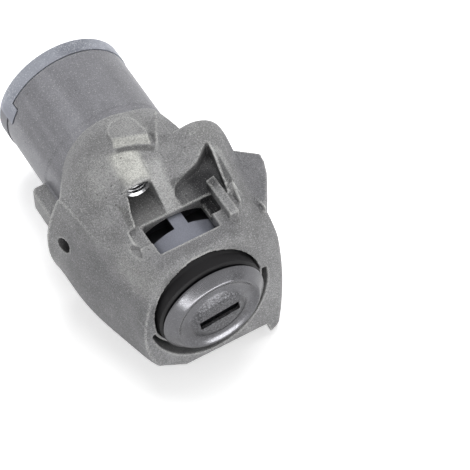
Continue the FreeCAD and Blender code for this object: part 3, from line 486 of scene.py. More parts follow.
@dataclass(frozen=True)
class CastZinc(Finish):
    """Sandy die cast skin and a smoother barrel, under painted light and shade: patches, rim highlights,
    corner shade.

    The barrel is bare inside barrel_radius_mm and behind the y range barrel_from_mm, and it has lengthwise
    bands. An edge in millimetres is the distance over which a mask fades. The grain eats into the rims by
    rim_break. The barrel loses barrel_evenness of the mottle and barrel_flatness of the relief, and its
    roughness differs by barrel_polish. pin_hole_mm is on the axis of the locking pin's hole, at its inner
    end.
    """

    skin: Colour = tone(139, 139, 140)
    barrel: Colour = tone(138, 138, 143)
    # Pale colour of the scratches, which are wear, and of the painted highlights on the rims and the glints.
    wear_and_highlight: Colour = tone(216, 216, 214)
    # Dark colour of the real pits and of the painted shade in the inner corners and the pin hole.
    pit: Colour = tone(58, 57, 58)
    # Painted light and shade. The flanks are darker where they turn from the light. The pockets, the far
    # corner of the right pocket and the band in front of the bar are painted in shadow. The rib, boss, bar,
    # hump, shoulders, side step and top of the right wall are painted lighter where light falls. The pad is
    # darker, and a painted highlight runs along the pad's front rim.
    patches: Tuple[LightShadePatch, ...] = (
        LightShadePatch((-26.0, 2.0, -20.0), (-11.5, 30.0, 9.5), tone(119, 119, 121), 3.0),
        LightShadePatch((-14.0, 27.0, 14.0), (-6.0, 35.0, 22.0), tone(152, 152, 152), 2.5),
        LightShadePatch((-16.0, 6.0, 6.5), (-9.0, 17.0, 12.0), tone(154, 154, 154), 2.5),
        LightShadePatch((-3.0, 34.0, 16.0), (5.0, 44.0, 22.0), tone(156, 156, 156), 2.0),
        LightShadePatch((12.0, 29.0, 15.0), (18.0, 34.0, 22.0), tone(150, 150, 150), 2.0),
        LightShadePatch((13.2, 16.0, 14.2), (16.2, 27.0, 19.0), tone(164, 164, 164), 0.8),
        LightShadePatch((-0.9, 19.0, 12.6), (2.9, 29.0, 22.0), tone(170, 170, 170), 1.0),
        LightShadePatch((-6.4, 25.0, 17.4), (-0.6, 33.4, 24.0), tone(200, 200, 195), 1.2),
        LightShadePatch((-4.6, 31.6, 18.0), (3.4, 33.0, 22.0), tone(108, 108, 108), 0.35, -20.3),
        LightShadePatch((-4.2, 33.4, 19.0), (3.6, 35.6, 22.0), tone(190, 190, 186), 0.35, -20.3),
        LightShadePatch((-9.6, 18.9, 12.4), (-0.8, 29.5, 16.4), tone(112, 112, 112), 0.3),
        LightShadePatch((2.8, 18.9, 12.4), (15.0, 29.5, 16.4), tone(98, 98, 99), 0.3),
        LightShadePatch((6.5, 18.0, 12.4), (13.0, 25.0, 15.6), tone(46, 46, 48), 1.6),
        LightShadePatch((6.9, 14.0, 11.0), (9.6, 19.2, 13.5), tone(30, 30, 32), 0.2),
        LightShadePatch((-10.0, 6.8, 13.0), (10.0, 12.0, 15.5), tone(130, 130, 132), 1.2),
        LightShadePatch((17.5, 13.0, 4.0), (27.0, 30.0, 14.0), tone(118, 118, 121), 1.5),
        LightShadePatch((-8.5, 6.05, 13.2), (9.5, 6.45, 14.8), tone(214, 214, 212), 0.15, share=0.9),
    )
    barrel_radius_mm: float = 14.8
    barrel_edge_mm: Span = (0.1, 0.6)
    barrel_from_mm: Span = (34.0, 35.0)
    band_stretch: Point = (1.0, 0.03, 1.0)
    bands_per_metre: float = 130.0
    band_step: Span = (0.38, 0.62)
    band_levels: Span = (0.86, 1.16)
    grain_step: Span = (0.4, 0.6)
    mottle: Span = (0.66, 1.3)
    pits: float = 0.8
    scratches: float = 0.6
    pin_hole_mm: Point = (-16.0, 29.6, 4.0)
    pin_hole_radius_mm: float = 1.7
    pin_hole_edge_mm: Span = (0.15, 1.0)
    rim_mm: float = 0.6
    rim_step: Span = (0.74, 0.46)
    rim_break: float = 0.3
    corner_mm: float = 1.2
    corner_step: Span = (0.8, 0.4)
    corner_shade_share: float = 0.6
    rim_highlight_share: float = 0.8
    scratch_share: float = 0.3
    glint_step: Span = (0.58, 0.68)
    glint_share: float = 0.5
    metallic: float = 0.25
    roughness: Span = (0.5, 0.7)
    barrel_evenness: float = 0.5
    barrel_polish: float = -0.12
    barrel_flatness: float = 0.55
    relief: Span = (0.9, 0.25)

    def barrel_mask(self, shader: Shader, axes: Node) -> Socket:
        """Find the bare barrel.

        Args:
            shader: tree of the material.
            axes: node that splits the place.

        Returns:
            Socket of 1 on the barrel and 0 elsewhere.
        """
        edge = ((self.barrel_radius_mm + above) * MM for above in self.barrel_edge_mm)
        past = shader.step(shader.radius(axes), *edge)
        behind = shader.step(axes.outputs["Y"], *(y * MM for y in self.barrel_from_mm))
        return shader.times(shader.rest(past), behind)

    def edges(self, shader: Shader, broken: Socket) -> Tuple[Socket, Socket]:
        """Find the outer edges, where highlights are painted, and the inner corners, where shade is painted.

        Args:
            shader: tree of the material.
            broken: socket of 0 to 1 that breaks up the edges.

        Returns:
            Masks of the painted rim highlights and of the painted corner shade.
        """
        behind = shader.openness(self.rim_mm, inside=True)
        beyond = shader.openness(self.corner_mm, inside=False)
        eaten = shader.plus(behind, shader.times(broken, -self.rim_break))
        return shader.step(eaten, *self.rim_step), shader.step(beyond, *self.corner_step)

    def hole_shade_mask(self, shader: Shader, axes: Node) -> Socket:
        """Find the wall of the locking pin's hole, where shade is painted.

        Args:
            shader: tree of the material.
            axes: node that splits the place.

        Returns:
            Socket of 1 on the wall and 0 elsewhere.
        """
        inner_x, centre_y, centre_z = (value * MM for value in self.pin_hole_mm)
        off = shader.length(shader.minus(axes.outputs["Y"], centre_y),
                            shader.minus(axes.outputs["Z"], centre_z))
        limit = self.pin_hole_radius_mm * MM
        round_fade, end_fade = (value * MM for value in self.pin_hole_edge_mm)
        within = shader.rest(shader.step(off, limit, limit + round_fade))
        return shader.times(within, shader.step(axes.outputs["X"], inner_x, inner_x - end_fade))

    def look(self, shader: Shader) -> Look:
        """Lay painted light and shade, the mottle, the glints and the scratches over the skin."""
        axes = shader.axes(shader.place())
        barrel = self.barrel_mask(shader, axes)
        grain = SandGrain().put(shader, {"Coarseness": 1.0, "Pits": self.pits})
        scuffs = Scuffs().put(shader, {"Amount": self.scratches})
        bands = shader.noise(shader.place(self.band_stretch), self.bands_per_metre)
        levels = shader.spread(shader.step(bands, *self.band_step), *self.band_levels)
        colour = shader.mix(barrel, self.skin, shader.shaded(self.barrel, levels))
        # Painted light and shade patches over the skin and the barrel.
        colour = shader.layered(colour, *(patch.layer(shader) for patch in self.patches))
        even = shader.times(barrel, self.barrel_evenness)
        calm = shader.plus(shader.times(shader.step(grain["Mottle"], *self.grain_step), shader.rest(even)),
                           shader.times(even, 0.5))
        # Masks where the rim highlights and the corner shade are painted.
        outer, inner = self.edges(shader, shader.step(grain["Height"], *self.grain_step))
        sandy = shader.shaded(colour, shader.spread(calm, *self.mottle))
        scratch = shader.times(shader.times(scuffs["Scratch"], shader.rest(barrel)), self.scratch_share)
        glint = shader.times(shader.step(grain["Height"], *self.glint_step), self.glint_share)
        # Painted shade in the inner corners and on the pin hole's wall, painted highlights on the rims and
        # glints, scratches that are wear, and real pits.
        marked = shader.layered(sandy, (shader.times(inner, self.corner_shade_share), self.pit),
                                (shader.times(outer, self.rim_highlight_share), self.wear_and_highlight),
                                (self.hole_shade_mask(shader, axes), self.pit),
                                (shader.math("MAXIMUM", scratch, glint), self.wear_and_highlight),
                                (grain["Pit mask"], self.pit))
        flatten = shader.rest(shader.times(barrel, self.barrel_flatness))
        return {"Base Color": marked,
                "Metallic": self.metallic,
                "Roughness": shader.plus(shader.spread(grain["Height"], *self.roughness),
                                         shader.times(barrel, self.barrel_polish)),
                "Normal": shader.relief(shader.times(grain["Height"], flatten), *self.relief)}


@dataclass(frozen=True)
class Clouded(Finish):
    """A plain surface under soft pale clouds, such as a plating or dusty rubber.

    The bloom colours the clouds and the scratches, and shine is the level of the reflection.
    """

    base: Colour
    bloom: Colour
    # Painted light and shade patches.
    patches: Tuple[LightShadePatch, ...] = ()
    coarseness: float = 1.4
    pits: float = 0.0
    scratches: float = 0.0
    cloud_step: Span = (0.35, 0.65)
    cloud_share: float = 0.5
    scratch_share: float = 0.5
    metallic: float = 0.0
    roughness: Span = (0.32, 0.48)
    shine: float = 0.5
    relief: Span = (0.25, 0.03)

    def look(self, shader: Shader) -> Look:
        """Cloud and scratch the surface, and lay the patches over it."""
        grain = SandGrain().put(shader, {"Coarseness": self.coarseness, "Pits": self.pits})
        scuffs = Scuffs().put(shader, {"Amount": self.scratches})
        cloud = shader.step(grain["Mottle"], *self.cloud_step)
        colour = shader.layered(self.base, (shader.times(cloud, self.cloud_share), self.bloom),
                                (shader.times(scuffs["Scratch"], self.scratch_share), self.bloom),
                                *(patch.layer(shader) for patch in self.patches))
        return {"Base Color": colour, "Metallic": self.metallic, "Specular IOR Level": self.shine,
                "Roughness": shader.spread(cloud, *self.roughness),
                "Normal": shader.relief(grain["Height"], *self.relief)}


@dataclass(frozen=True)
class PressedSteel(Finish):
    """Cold pressed steel sheet with drawing marks round the lock's axis.

    The shade colours the worn places, the pits and the fine rings. Within rubbed_radius_mm of the axis the
    sheet is dull and pitted, and a radius of 0 leaves that out. ring_height and dull_height are the heights
    of the rings and of the dull place's grain.
    """

    base: Colour = tone(164, 167, 176)
    shade: Colour = tone(120, 123, 132)
    fleck: Colour = tone(226, 229, 235)
    roughness: Span = (0.28, 0.42)
    ring_pitch_mm: float = 0.22
    worn_share: float = 0.4
    fleck_share: float = 0.0
    ring_share: float = 0.18
    scratch_share: float = 0.3
    rubbed_radius_mm: float = 0.0
    rubbed_fade_mm: float = 1.0
    # Painted light and shade patches.
    patches: Tuple[LightShadePatch, ...] = ()
    coarseness: float = 0.8
    pits: float = 0.4
    scratches: float = 0.7
    clouds_per_metre: float = 140.0
    worn_step: Span = (0.42, 0.7)
    fleck_step: Span = (0.5, 0.64)
    dull_step: Span = (0.4, 0.6)
    dull_levels: Span = (0.35, 1.1)
    dull_roughness: float = 0.2
    metallic: float = 0.9
    ring_height: float = 0.12
    dull_height: float = 1.6
    relief: Span = (1.0, 0.02)

    def look(self, shader: Shader) -> Look:
        """Wear, fleck and pit the sheet, dull its middle, and draw the rings and the scratches."""
        radius = shader.radius(shader.axes(shader.place()))
        limit = self.rubbed_radius_mm * MM
        dull = shader.rest(shader.step(radius, limit - self.rubbed_fade_mm * MM, limit))
        along = shader.math("DIVIDE", radius, self.ring_pitch_mm * MM)
        ring = shader.add("ShaderNodeTexNoise", {"W": along, "Scale": 1.0},
                          noise_dimensions="1D").outputs["Fac"]
        scuffs = Scuffs().put(shader, {"Amount": self.scratches})
        cloud = shader.noise(shader.place(), self.clouds_per_metre, detail=4.0)
        grain = SandGrain().put(shader, {"Coarseness": self.coarseness, "Pits": self.pits})
        worn = shader.times(shader.step(cloud, *self.worn_step), self.worn_share)
        fleck = shader.times(shader.step(grain["Mottle"], *self.fleck_step), self.fleck_share)
        colour = shader.layered(self.base, (worn, self.shade), (fleck, self.fleck),
                                (grain["Pit mask"], self.shade))
        mottle = shader.spread(shader.step(grain["Mottle"], *self.dull_step), *self.dull_levels)
        colour = shader.mix(dull, colour, shader.shaded(colour, mottle))
        colour = shader.layered(colour, *(patch.layer(shader) for patch in self.patches),
                                (shader.times(ring, self.ring_share), self.shade),
                                (shader.times(scuffs["Scratch"], self.scratch_share), self.base))
        lumps = shader.times(shader.times(grain["Height"], dull), self.dull_height)
        height = shader.plus(shader.times(ring, self.ring_height), lumps)
        return {"Base Color": colour,
                "Metallic": self.metallic,
                "Roughness": shader.plus(shader.spread(cloud, *self.roughness),
                                         shader.times(dull, self.dull_roughness)),
                "Normal": shader.relief(height, *self.relief)}


@dataclass(frozen=True)
class Drawn(Finish):
    """Drawn wire or stamped strip, clouded with tarnish."""

    base: Colour = tone(150, 150, 154)
    tarnish: Colour = tone(104, 102, 104)
    metallic: float = 0.95
    clouds_per_metre: float = 900.0
    cloud_step: Span = (0.4, 0.7)
    roughness: Span = (0.25, 0.45)
    relief: Span = (0.2, 0.02)

    def look(self, shader: Shader) -> Look:
        """Cloud the metal with its tarnish."""
        cloud = shader.noise(shader.place(), self.clouds_per_metre)
        return {"Base Color": shader.mix(shader.step(cloud, *self.cloud_step), self.base, self.tarnish),
                "Metallic": self.metallic,
                "Roughness": shader.spread(cloud, *self.roughness),
                "Normal": shader.relief(cloud, *self.relief)}


class Bench:
    """Calls that a piece needs while it is being made."""

    @staticmethod
    def clear() -> None:
        """Leave edit mode and deselect everything."""
        if bpy.context.object is not None and bpy.context.object.mode != "OBJECT":
            bpy.ops.object.mode_set(mode="OBJECT")
        bpy.ops.object.select_all(action="DESELECT")

    @staticmethod
    def pick(piece: Piece) -> None:
        """Select one object alone and make it active."""
        Bench.clear()
        piece.select_set(True)
        bpy.context.view_layer.objects.active = piece

    @staticmethod
    @contextmanager
    def editing(piece: Piece) -> Iterator[None]:
        """Work on an object's mesh in edit mode, with everything selected at first."""
        Bench.pick(piece)
        bpy.ops.object.mode_set(mode="EDIT")
        bpy.ops.mesh.select_all(action="SELECT")
        yield
        bpy.ops.object.mode_set(mode="OBJECT")

    @staticmethod
    def apply(piece: Piece, kind: str, label: str, **values: object) -> None:
        """Add a modifier with its values and apply it.

        Args:
            piece: object to change.
            kind: Blender's name of the modifier type.
            label: name of the modifier.
            values: properties of the modifier, by name.
        """
        modifier = piece.modifiers.new(label, kind)
        for name, value in values.items():
            setattr(modifier, name, value)
        Bench.pick(piece)
        bpy.ops.object.modifier_apply(modifier=label)

    @staticmethod
    def settle(piece: Piece) -> None:
        """Move an object's place into its mesh."""
        Bench.pick(piece)
        bpy.ops.object.transform_apply(location=True, rotation=True, scale=True)

    @staticmethod
    def ring(label: str, sides: int, radius_mm: float, place_mm: Point, roll: float = 0.0) -> Piece:
        """Add a ring of edges that stands upright, square to Y.

        Args:
            label: name of the new piece.
            sides: number of edges.
            radius_mm: radius of the ring.
            place_mm: its middle.
            roll: turn of the ring about its own middle, in radians.

        Returns:
            The ring, with its place in its mesh.
        """
        Bench.clear()
        bpy.ops.mesh.primitive_circle_add(vertices=sides, radius=radius_mm * MM, fill_type="NOTHING",
                                          location=[value * MM for value in place_mm],
                                          rotation=(math.pi / 2, roll, 0.0))
        piece = bpy.context.object
        piece.name = label
        piece.data.name = piece.name
        Bench.settle(piece)
        return piece

    @staticmethod
    def finish(piece: Piece, crease_deg: float, material: Material) -> None:
        """Shade smooth where faces meet at less than an angle, and give the object its material."""
        Bench.pick(piece)
        bpy.ops.object.shade_smooth_by_angle(angle=math.radians(crease_deg))
        Bench.dress(piece, material)

    @staticmethod
    def dress(piece: Piece, material: Material) -> None:
        """Give an object one material."""
        piece.data.materials.clear()
        piece.data.materials.append(material)


@dataclass
class CastHousing:
    """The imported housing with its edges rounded, as casting leaves them.

    Vertices within merge_mm are joined. A grid of voxel_mm and the smoothing rounds soften the edges, the
    piece is thinned to most_triangles, and the settling rounds even out the thinned mesh. An edge stays
    sharp from crease_deg.
    """

    finish: Material
    merge_mm: float = 0.001
    voxel_mm: float = 0.24
    smooth_rounds: int = 2
    smooth_factor: float = 0.5
    most_triangles: int = 190000
    settle_rounds: int = 2
    settle_factor: float = 0.35
    crease_deg: float = 60.0

    def merged_copy(self, node: Piece) -> Piece:
        """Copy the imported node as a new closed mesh.

        Args:
            node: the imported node.

        Returns:
            The copy, with its doubles merged.
        """
        copy = bpy.data.objects.new("cast_housing", node.data.copy())
        bpy.context.scene.collection.objects.link(copy)
        for name in [key for key in copy.keys() if key.startswith("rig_")]:
            del copy[name]
        copy.data.materials.clear()
        with Bench.editing(copy):
            bpy.ops.mesh.remove_doubles(threshold=self.merge_mm * MM)
        return copy

    def build(self, nodes: Dict[str, Piece]) -> Piece:
        """Round the housing's edges and dress it.

        Args:
            nodes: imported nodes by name.

        Returns:
            The new piece.
        """
        piece = self.merged_copy(nodes["housing"])
        Bench.apply(piece, "REMESH", "formed", mode="VOXEL", voxel_size=self.voxel_mm * MM,
                    adaptivity=0.0, use_smooth_shade=True)
        Bench.apply(piece, "SMOOTH", "softened", factor=self.smooth_factor, iterations=self.smooth_rounds)
        triangles = 2 * len(piece.data.polygons)
        if triangles > self.most_triangles:
            Bench.apply(piece, "DECIMATE", "thinned", ratio=self.most_triangles / triangles)
            Bench.apply(piece, "SMOOTH", "settled", factor=self.settle_factor, iterations=self.settle_rounds)
        Bench.finish(piece, self.crease_deg, self.finish)
        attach(piece, Body.LOCK.value)
        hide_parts("housing")
        return piece


@dataclass
class FacePressing:
    """The face cap, drawn from one disc of sheet: a ridge, a dish, a flat middle and the key slot.

    The profile gives the distance from the axis and the place along it, from the skirt to the middle.
    punch_mm is the length of the block that punches the slot. Edges from crease_deg are rounded by edge_mm
    in edge_runs faces.
    """

    finish: Material
    profile_mm: Tuple[Span, ...] = (
        (12.0, 2.18), (11.97, 2.05), (11.82, 1.87), (11.4, 1.46), (10.9, 0.97), (10.5, 0.58), (10.22, 0.32),
        (10.02, 0.14), (9.87, 0.04), (9.7, 0.0), (9.52, 0.05), (9.3, 0.19), (9.0, 0.41), (8.7, 0.61),
        (8.4, 0.76), (8.1, 0.84), (7.8, 0.87), (7.5, 0.85), (7.2, 0.78), (6.9, 0.67), (6.55, 0.51),
        (6.2, 0.33), (5.9, 0.17), (5.6, 0.0), (5.35, -0.14), (5.1, -0.27), (4.9, -0.36), (4.7, -0.42),
        (4.5, -0.45))
    sides: int = 128
    sheet_mm: float = 0.7
    slot_mm: Span = (9.4, 2.6)
    slot_turn_deg: float = 7.0
    punch_mm: float = 4.0
    edge_mm: float = 0.2
    edge_runs: int = 3
    crease_deg: float = 50.0

    def dish(self) -> Piece:
        """Draw the sheet ring by ring from the skirt to the middle, and give it its thickness.

        Returns:
            The cap without its slot.
        """
        radius, place = self.profile_mm[0]
        piece = Bench.ring("pressed_face_cap", self.sides, radius, (0.0, place, 0.0))
        with Bench.editing(piece):
            for (wide, here), (narrow, there) in zip(self.profile_mm, self.profile_mm[1:]):
                inward = {"value": (0.0, (there - here) * MM, 0.0)}
                bpy.ops.mesh.extrude_region_move(TRANSFORM_OT_translate=inward)
                share = narrow / wide
                bpy.ops.transform.resize(value=(share, 1.0, share), center_override=(0.0, there * MM, 0.0))
            bpy.ops.mesh.edge_face_add()
            bpy.ops.mesh.select_all(action="SELECT")
            bpy.ops.mesh.normals_make_consistent(inside=False)
        Bench.apply(piece, "SOLIDIFY", "sheet", thickness=self.sheet_mm * MM, offset=-1.0)
        return piece

    def punch(self) -> Piece:
        """Make the block that punches the key slot.

        Returns:
            The block.
        """
        Bench.clear()
        bpy.ops.mesh.primitive_cube_add(size=1.0, location=(0.0, 0.0, 0.0))
        block = bpy.context.object
        width, height = self.slot_mm
        block.scale = (width * MM, self.punch_mm * MM, height * MM)
        block.rotation_euler = (0.0, -math.radians(self.slot_turn_deg), 0.0)
        Bench.settle(block)
        return block

    def build(self) -> Piece:
        """Press the cap, punch its slot and round its edges.

        Returns:
            The face cap.
        """
        piece = self.dish()
        block = self.punch()
        Bench.apply(piece, "BOOLEAN", "punched", operation="DIFFERENCE", object=block, solver="EXACT")
        bpy.data.objects.remove(block)
        Bench.apply(piece, "BEVEL", "deburred", width=self.edge_mm * MM, segments=self.edge_runs,
                    limit_method="ANGLE", angle_limit=math.radians(self.crease_deg))
        Bench.finish(piece, self.crease_deg, self.finish)
        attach(piece, Body.ROTOR.value)
        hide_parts("face_cap")
        return piece


@dataclass(frozen=True)
class Coil:
    """A section wound into a coil about Z.

    Attributes:
        radius_mm: radius of the coil's middle line.
        section_mm: radius of the section.
        turns: number of turns.
        steps: straight runs in each turn.
        sides: sides of the section.
        roll: turn of the section about its own middle, in radians.
    """

    radius_mm: float
    section_mm: float
    turns: int
    steps: int
    sides: int
    roll: float = 0.0

    def wind(self, label: str, pitch_mm: float, foot_mm: Vector, along: Vector) -> Piece:
        """Screw the section along the coil, close its ends and set it in place.

        Args:
            label: name of the new piece.
            pitch_mm: rise in each turn.
            foot_mm: where the coil starts.
            along: unit vector that it goes along.

        Returns:
            The coil.
        """
        coil = Bench.ring(label, self.sides, self.section_mm, (self.radius_mm, 0.0, 0.0), self.roll)
        Bench.apply(coil, "SCREW", "winding", axis="Z", angle=2 * math.pi, screw_offset=pitch_mm * MM,
                    iterations=self.turns, steps=self.steps, render_steps=self.steps,
                    use_merge_vertices=False, use_normal_calculate=True)
        with Bench.editing(coil):
            bpy.ops.mesh.select_all(action="DESELECT")
            bpy.ops.mesh.select_mode(type="EDGE")
            bpy.ops.mesh.select_non_manifold()
            bpy.ops.mesh.fill_holes(sides=0)
            bpy.ops.mesh.select_all(action="SELECT")
            bpy.ops.mesh.normals_make_consistent(inside=False)
        turn = Vector((0.0, 0.0, 1.0)).rotation_difference(along).to_matrix().to_4x4()
        coil.matrix_world = Matrix.Translation(foot_mm * MM) @ turn
        Bench.settle(coil)
        return coil


@dataclass
class ScrewThread:
    """Thread in the screw hole of the boss, with a three-cornered section.

    mouth_mm is the centre of the hole's mouth, and the direction goes into the boss. The thread starts
    lead_in_mm along it, and middle_mm is the distance from the hole's axis to the section's middle.
    """

    finish: Material
    mouth_mm: Vector = field(default_factory=lambda: Vector((-3.95, 26.15, 16.7)))
    direction: Vector = field(default_factory=lambda: Vector((0.13, 0.98, -0.02)))
    lead_in_mm: float = 0.4
    pitch_mm: float = 0.8
    middle_mm: float = 2.66
    turns: int = 8
    steps: int = 40
    crease_deg: float = 40.0

    def build(self) -> Piece:
        """Wind the thread into the hole.

        Returns:
            The thread.
        """
        inward = self.direction.normalized()
        section = Coil(self.middle_mm, self.pitch_mm / 2, self.turns, self.steps, sides=3, roll=-math.pi / 2)
        thread = section.wind("screw_thread", self.pitch_mm, self.mouth_mm + inward * self.lead_in_mm, inward)
        Bench.finish(thread, self.crease_deg, self.finish)
        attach(thread, Body.LOCK.value)
        return thread


@dataclass
class CoilSpring:
    """One coil spring of round wire that replaces its packed coil.

    Attributes:
        node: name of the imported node.
        held, moved: bodies of its first and its last end; not used.
        coil: its size.
        start_mm, end_mm: both ends, on the coil's own axis.
        finish: its material.
        crease_deg: angle from which an edge stays sharp.
    """

    node: str
    held: str
    moved: str
    coil: Coil
    start_mm: Vector
    end_mm: Vector
    finish: Material
    crease_deg: float = 60.0

    def build(self) -> Piece:
        """Wind the spring between its two ends.

        Returns:
            The spring.
        """
        run = self.end_mm - self.start_mm
        along = run.normalized()
        wire = self.coil.section_mm
        pitch = (run.length - 2 * wire) / self.coil.turns
        spring = self.coil.wind("wound_" + self.node, pitch, self.start_mm + along * wire, along)
        Bench.finish(spring, self.crease_deg, self.finish)
        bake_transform(spring)
        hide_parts(self.node)
        return spring


@dataclass
class Springs:
    """All the coil springs of the lock.

    A foot is the y of the end that is held. The plug stands at rest_turn_deg with no key, and these are in
    its own frame: shutter_pin_mm, the y and z of the shutter's pin, and wafer_ends_mm, the x of the held and
    the moving end on the side of an odd wafer.
    """

    finish: Material
    rest_turn_deg: float = 7.0
    clutch_coil: Coil = Coil(8.6, 0.5, 3, 48, 12)
    clutch_foot_mm: float = 63.24
    return_coil: Coil = Coil(9.6, 0.5, 2, 48, 12)
    return_foot_mm: float = 68.9
    shutter_coil: Coil = Coil(0.66, 0.11, 4, 16, 6)
    shutter_half_mm: float = 1.25
    shutter_pin_mm: Span = (2.65, 2.15)
    wafer_coil: Coil = Coil(0.42, 0.13, 4, 16, 6)
    wafer_ends_mm: Span = (-1.98, 2.93)
    wafer_z_mm: float = 2.75
    first_wafer_mm: float = 12.4
    wafer_pitch_mm: float = 3.3
    wafers: int = 8

    def plug_point(self, x: float, y: float, z: float) -> Vector:
        """A place in the plug's own frame, turned to rest, in millimetres."""
        angle = math.radians(self.rest_turn_deg)
        return Vector((x * math.cos(angle) - z * math.sin(angle), y,
                       x * math.sin(angle) + z * math.cos(angle)))

    @staticmethod
    def box_run(node: str, held_y: float) -> Tuple[Vector, Vector]:
        """Find both ends of a coil about the lock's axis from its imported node's box.

        Args:
            node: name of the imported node.
            held_y: place of the held end in millimetres.

        Returns:
            The held and the moving end in millimetres.
        """
        low, high = (Vector((0.0, corner.y / MM, 0.0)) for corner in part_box(node))
        return (low, high) if abs(low.y - held_y) < abs(high.y - held_y) else (high, low)

    def build(self) -> List[Piece]:
        """Wind every spring.

        Returns:
            The springs.
        """
        rotor = Body.ROTOR.value
        pin_ends = (self.plug_point(x, *self.shutter_pin_mm)
                    for x in (-self.shutter_half_mm, self.shutter_half_mm))
        rows = [("clutch_spring", rotor, Body.CLUTCH.value, self.clutch_coil,
                 *self.box_run("clutch_spring", self.clutch_foot_mm)),
                ("return_spring", Body.LOCK.value, rotor, self.return_coil,
                 *self.box_run("return_spring", self.return_foot_mm)),
                ("shutter_spring", rotor, Body.FLAP.value, self.shutter_coil, *pin_ends)]
        for number in range(1, self.wafers + 1):
            side = 1.0 if number % 2 == 1 else -1.0
            y = self.first_wafer_mm + self.wafer_pitch_mm * (number - 1)
            start, end = (self.plug_point(x * side, y, self.wafer_z_mm) for x in self.wafer_ends_mm)
            rows.append(("wafer_spring_%d" % number, rotor, "tumbler_%d" % number, self.wafer_coil,
                         start, end))
        return [CoilSpring(*row, self.finish).build() for row in rows]


@dataclass
class PackedNodes:
    """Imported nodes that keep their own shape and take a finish.

    Attributes:
        finishes: material for each slot.
        own: material of each node that departs from its slot's.
    """

    finishes: Dict[Slot, Material]
    own: Dict[str, Material] = field(default_factory=dict)

    def build(self, nodes: Dict[str, Piece], slots: Dict[str, str]) -> int:
        """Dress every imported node.

        Args:
            nodes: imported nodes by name.
            slots: material slot of each node.

        Returns:
            The number of dressed nodes that are still shown.
        """
        for name, node in nodes.items():
            Bench.dress(node, self.own.get(name, self.finishes[Slot(slots[name])]))
        return sum(not node.hide_render for node in nodes.values())


@dataclass(frozen=True)
class Lamp:
    """A soft lamp that faces the lock.

    Attributes:
        label: name of the lamp.
        direction: from aim_mm, a point in the lock, to the lamp.
        size_m: width and height.
        power_w: power.
        in_gloss: whether reflections show it.
        on_matt: whether matt surfaces take its light.
    """

    label: str
    direction: Point
    size_m: Span
    power_w: float
    in_gloss: bool = False
    on_matt: bool = True
    distance_m: float = 0.8
    aim_mm: Point = (0.0, 25.0, 0.0)

    def hang(self) -> Piece:
        """Add the lamp.

        Returns:
            The lamp.
        """
        data = bpy.data.lights.new(self.label, "AREA")
        data.shape = "RECTANGLE"
        data.size, data.size_y = self.size_m
        data.energy = self.power_w
        lamp = bpy.data.objects.new(self.label, data)
        bpy.context.scene.collection.objects.link(lamp)
        outward = Vector(self.direction).normalized()
        lamp.matrix_world = (Matrix.Translation(Vector(self.aim_mm) * MM + outward * self.distance_m)
                             @ outward.to_track_quat("Z", "Y").to_matrix().to_4x4())
        lamp.visible_glossy = self.in_gloss
        lamp.visible_diffuse = self.on_matt
        return lamp


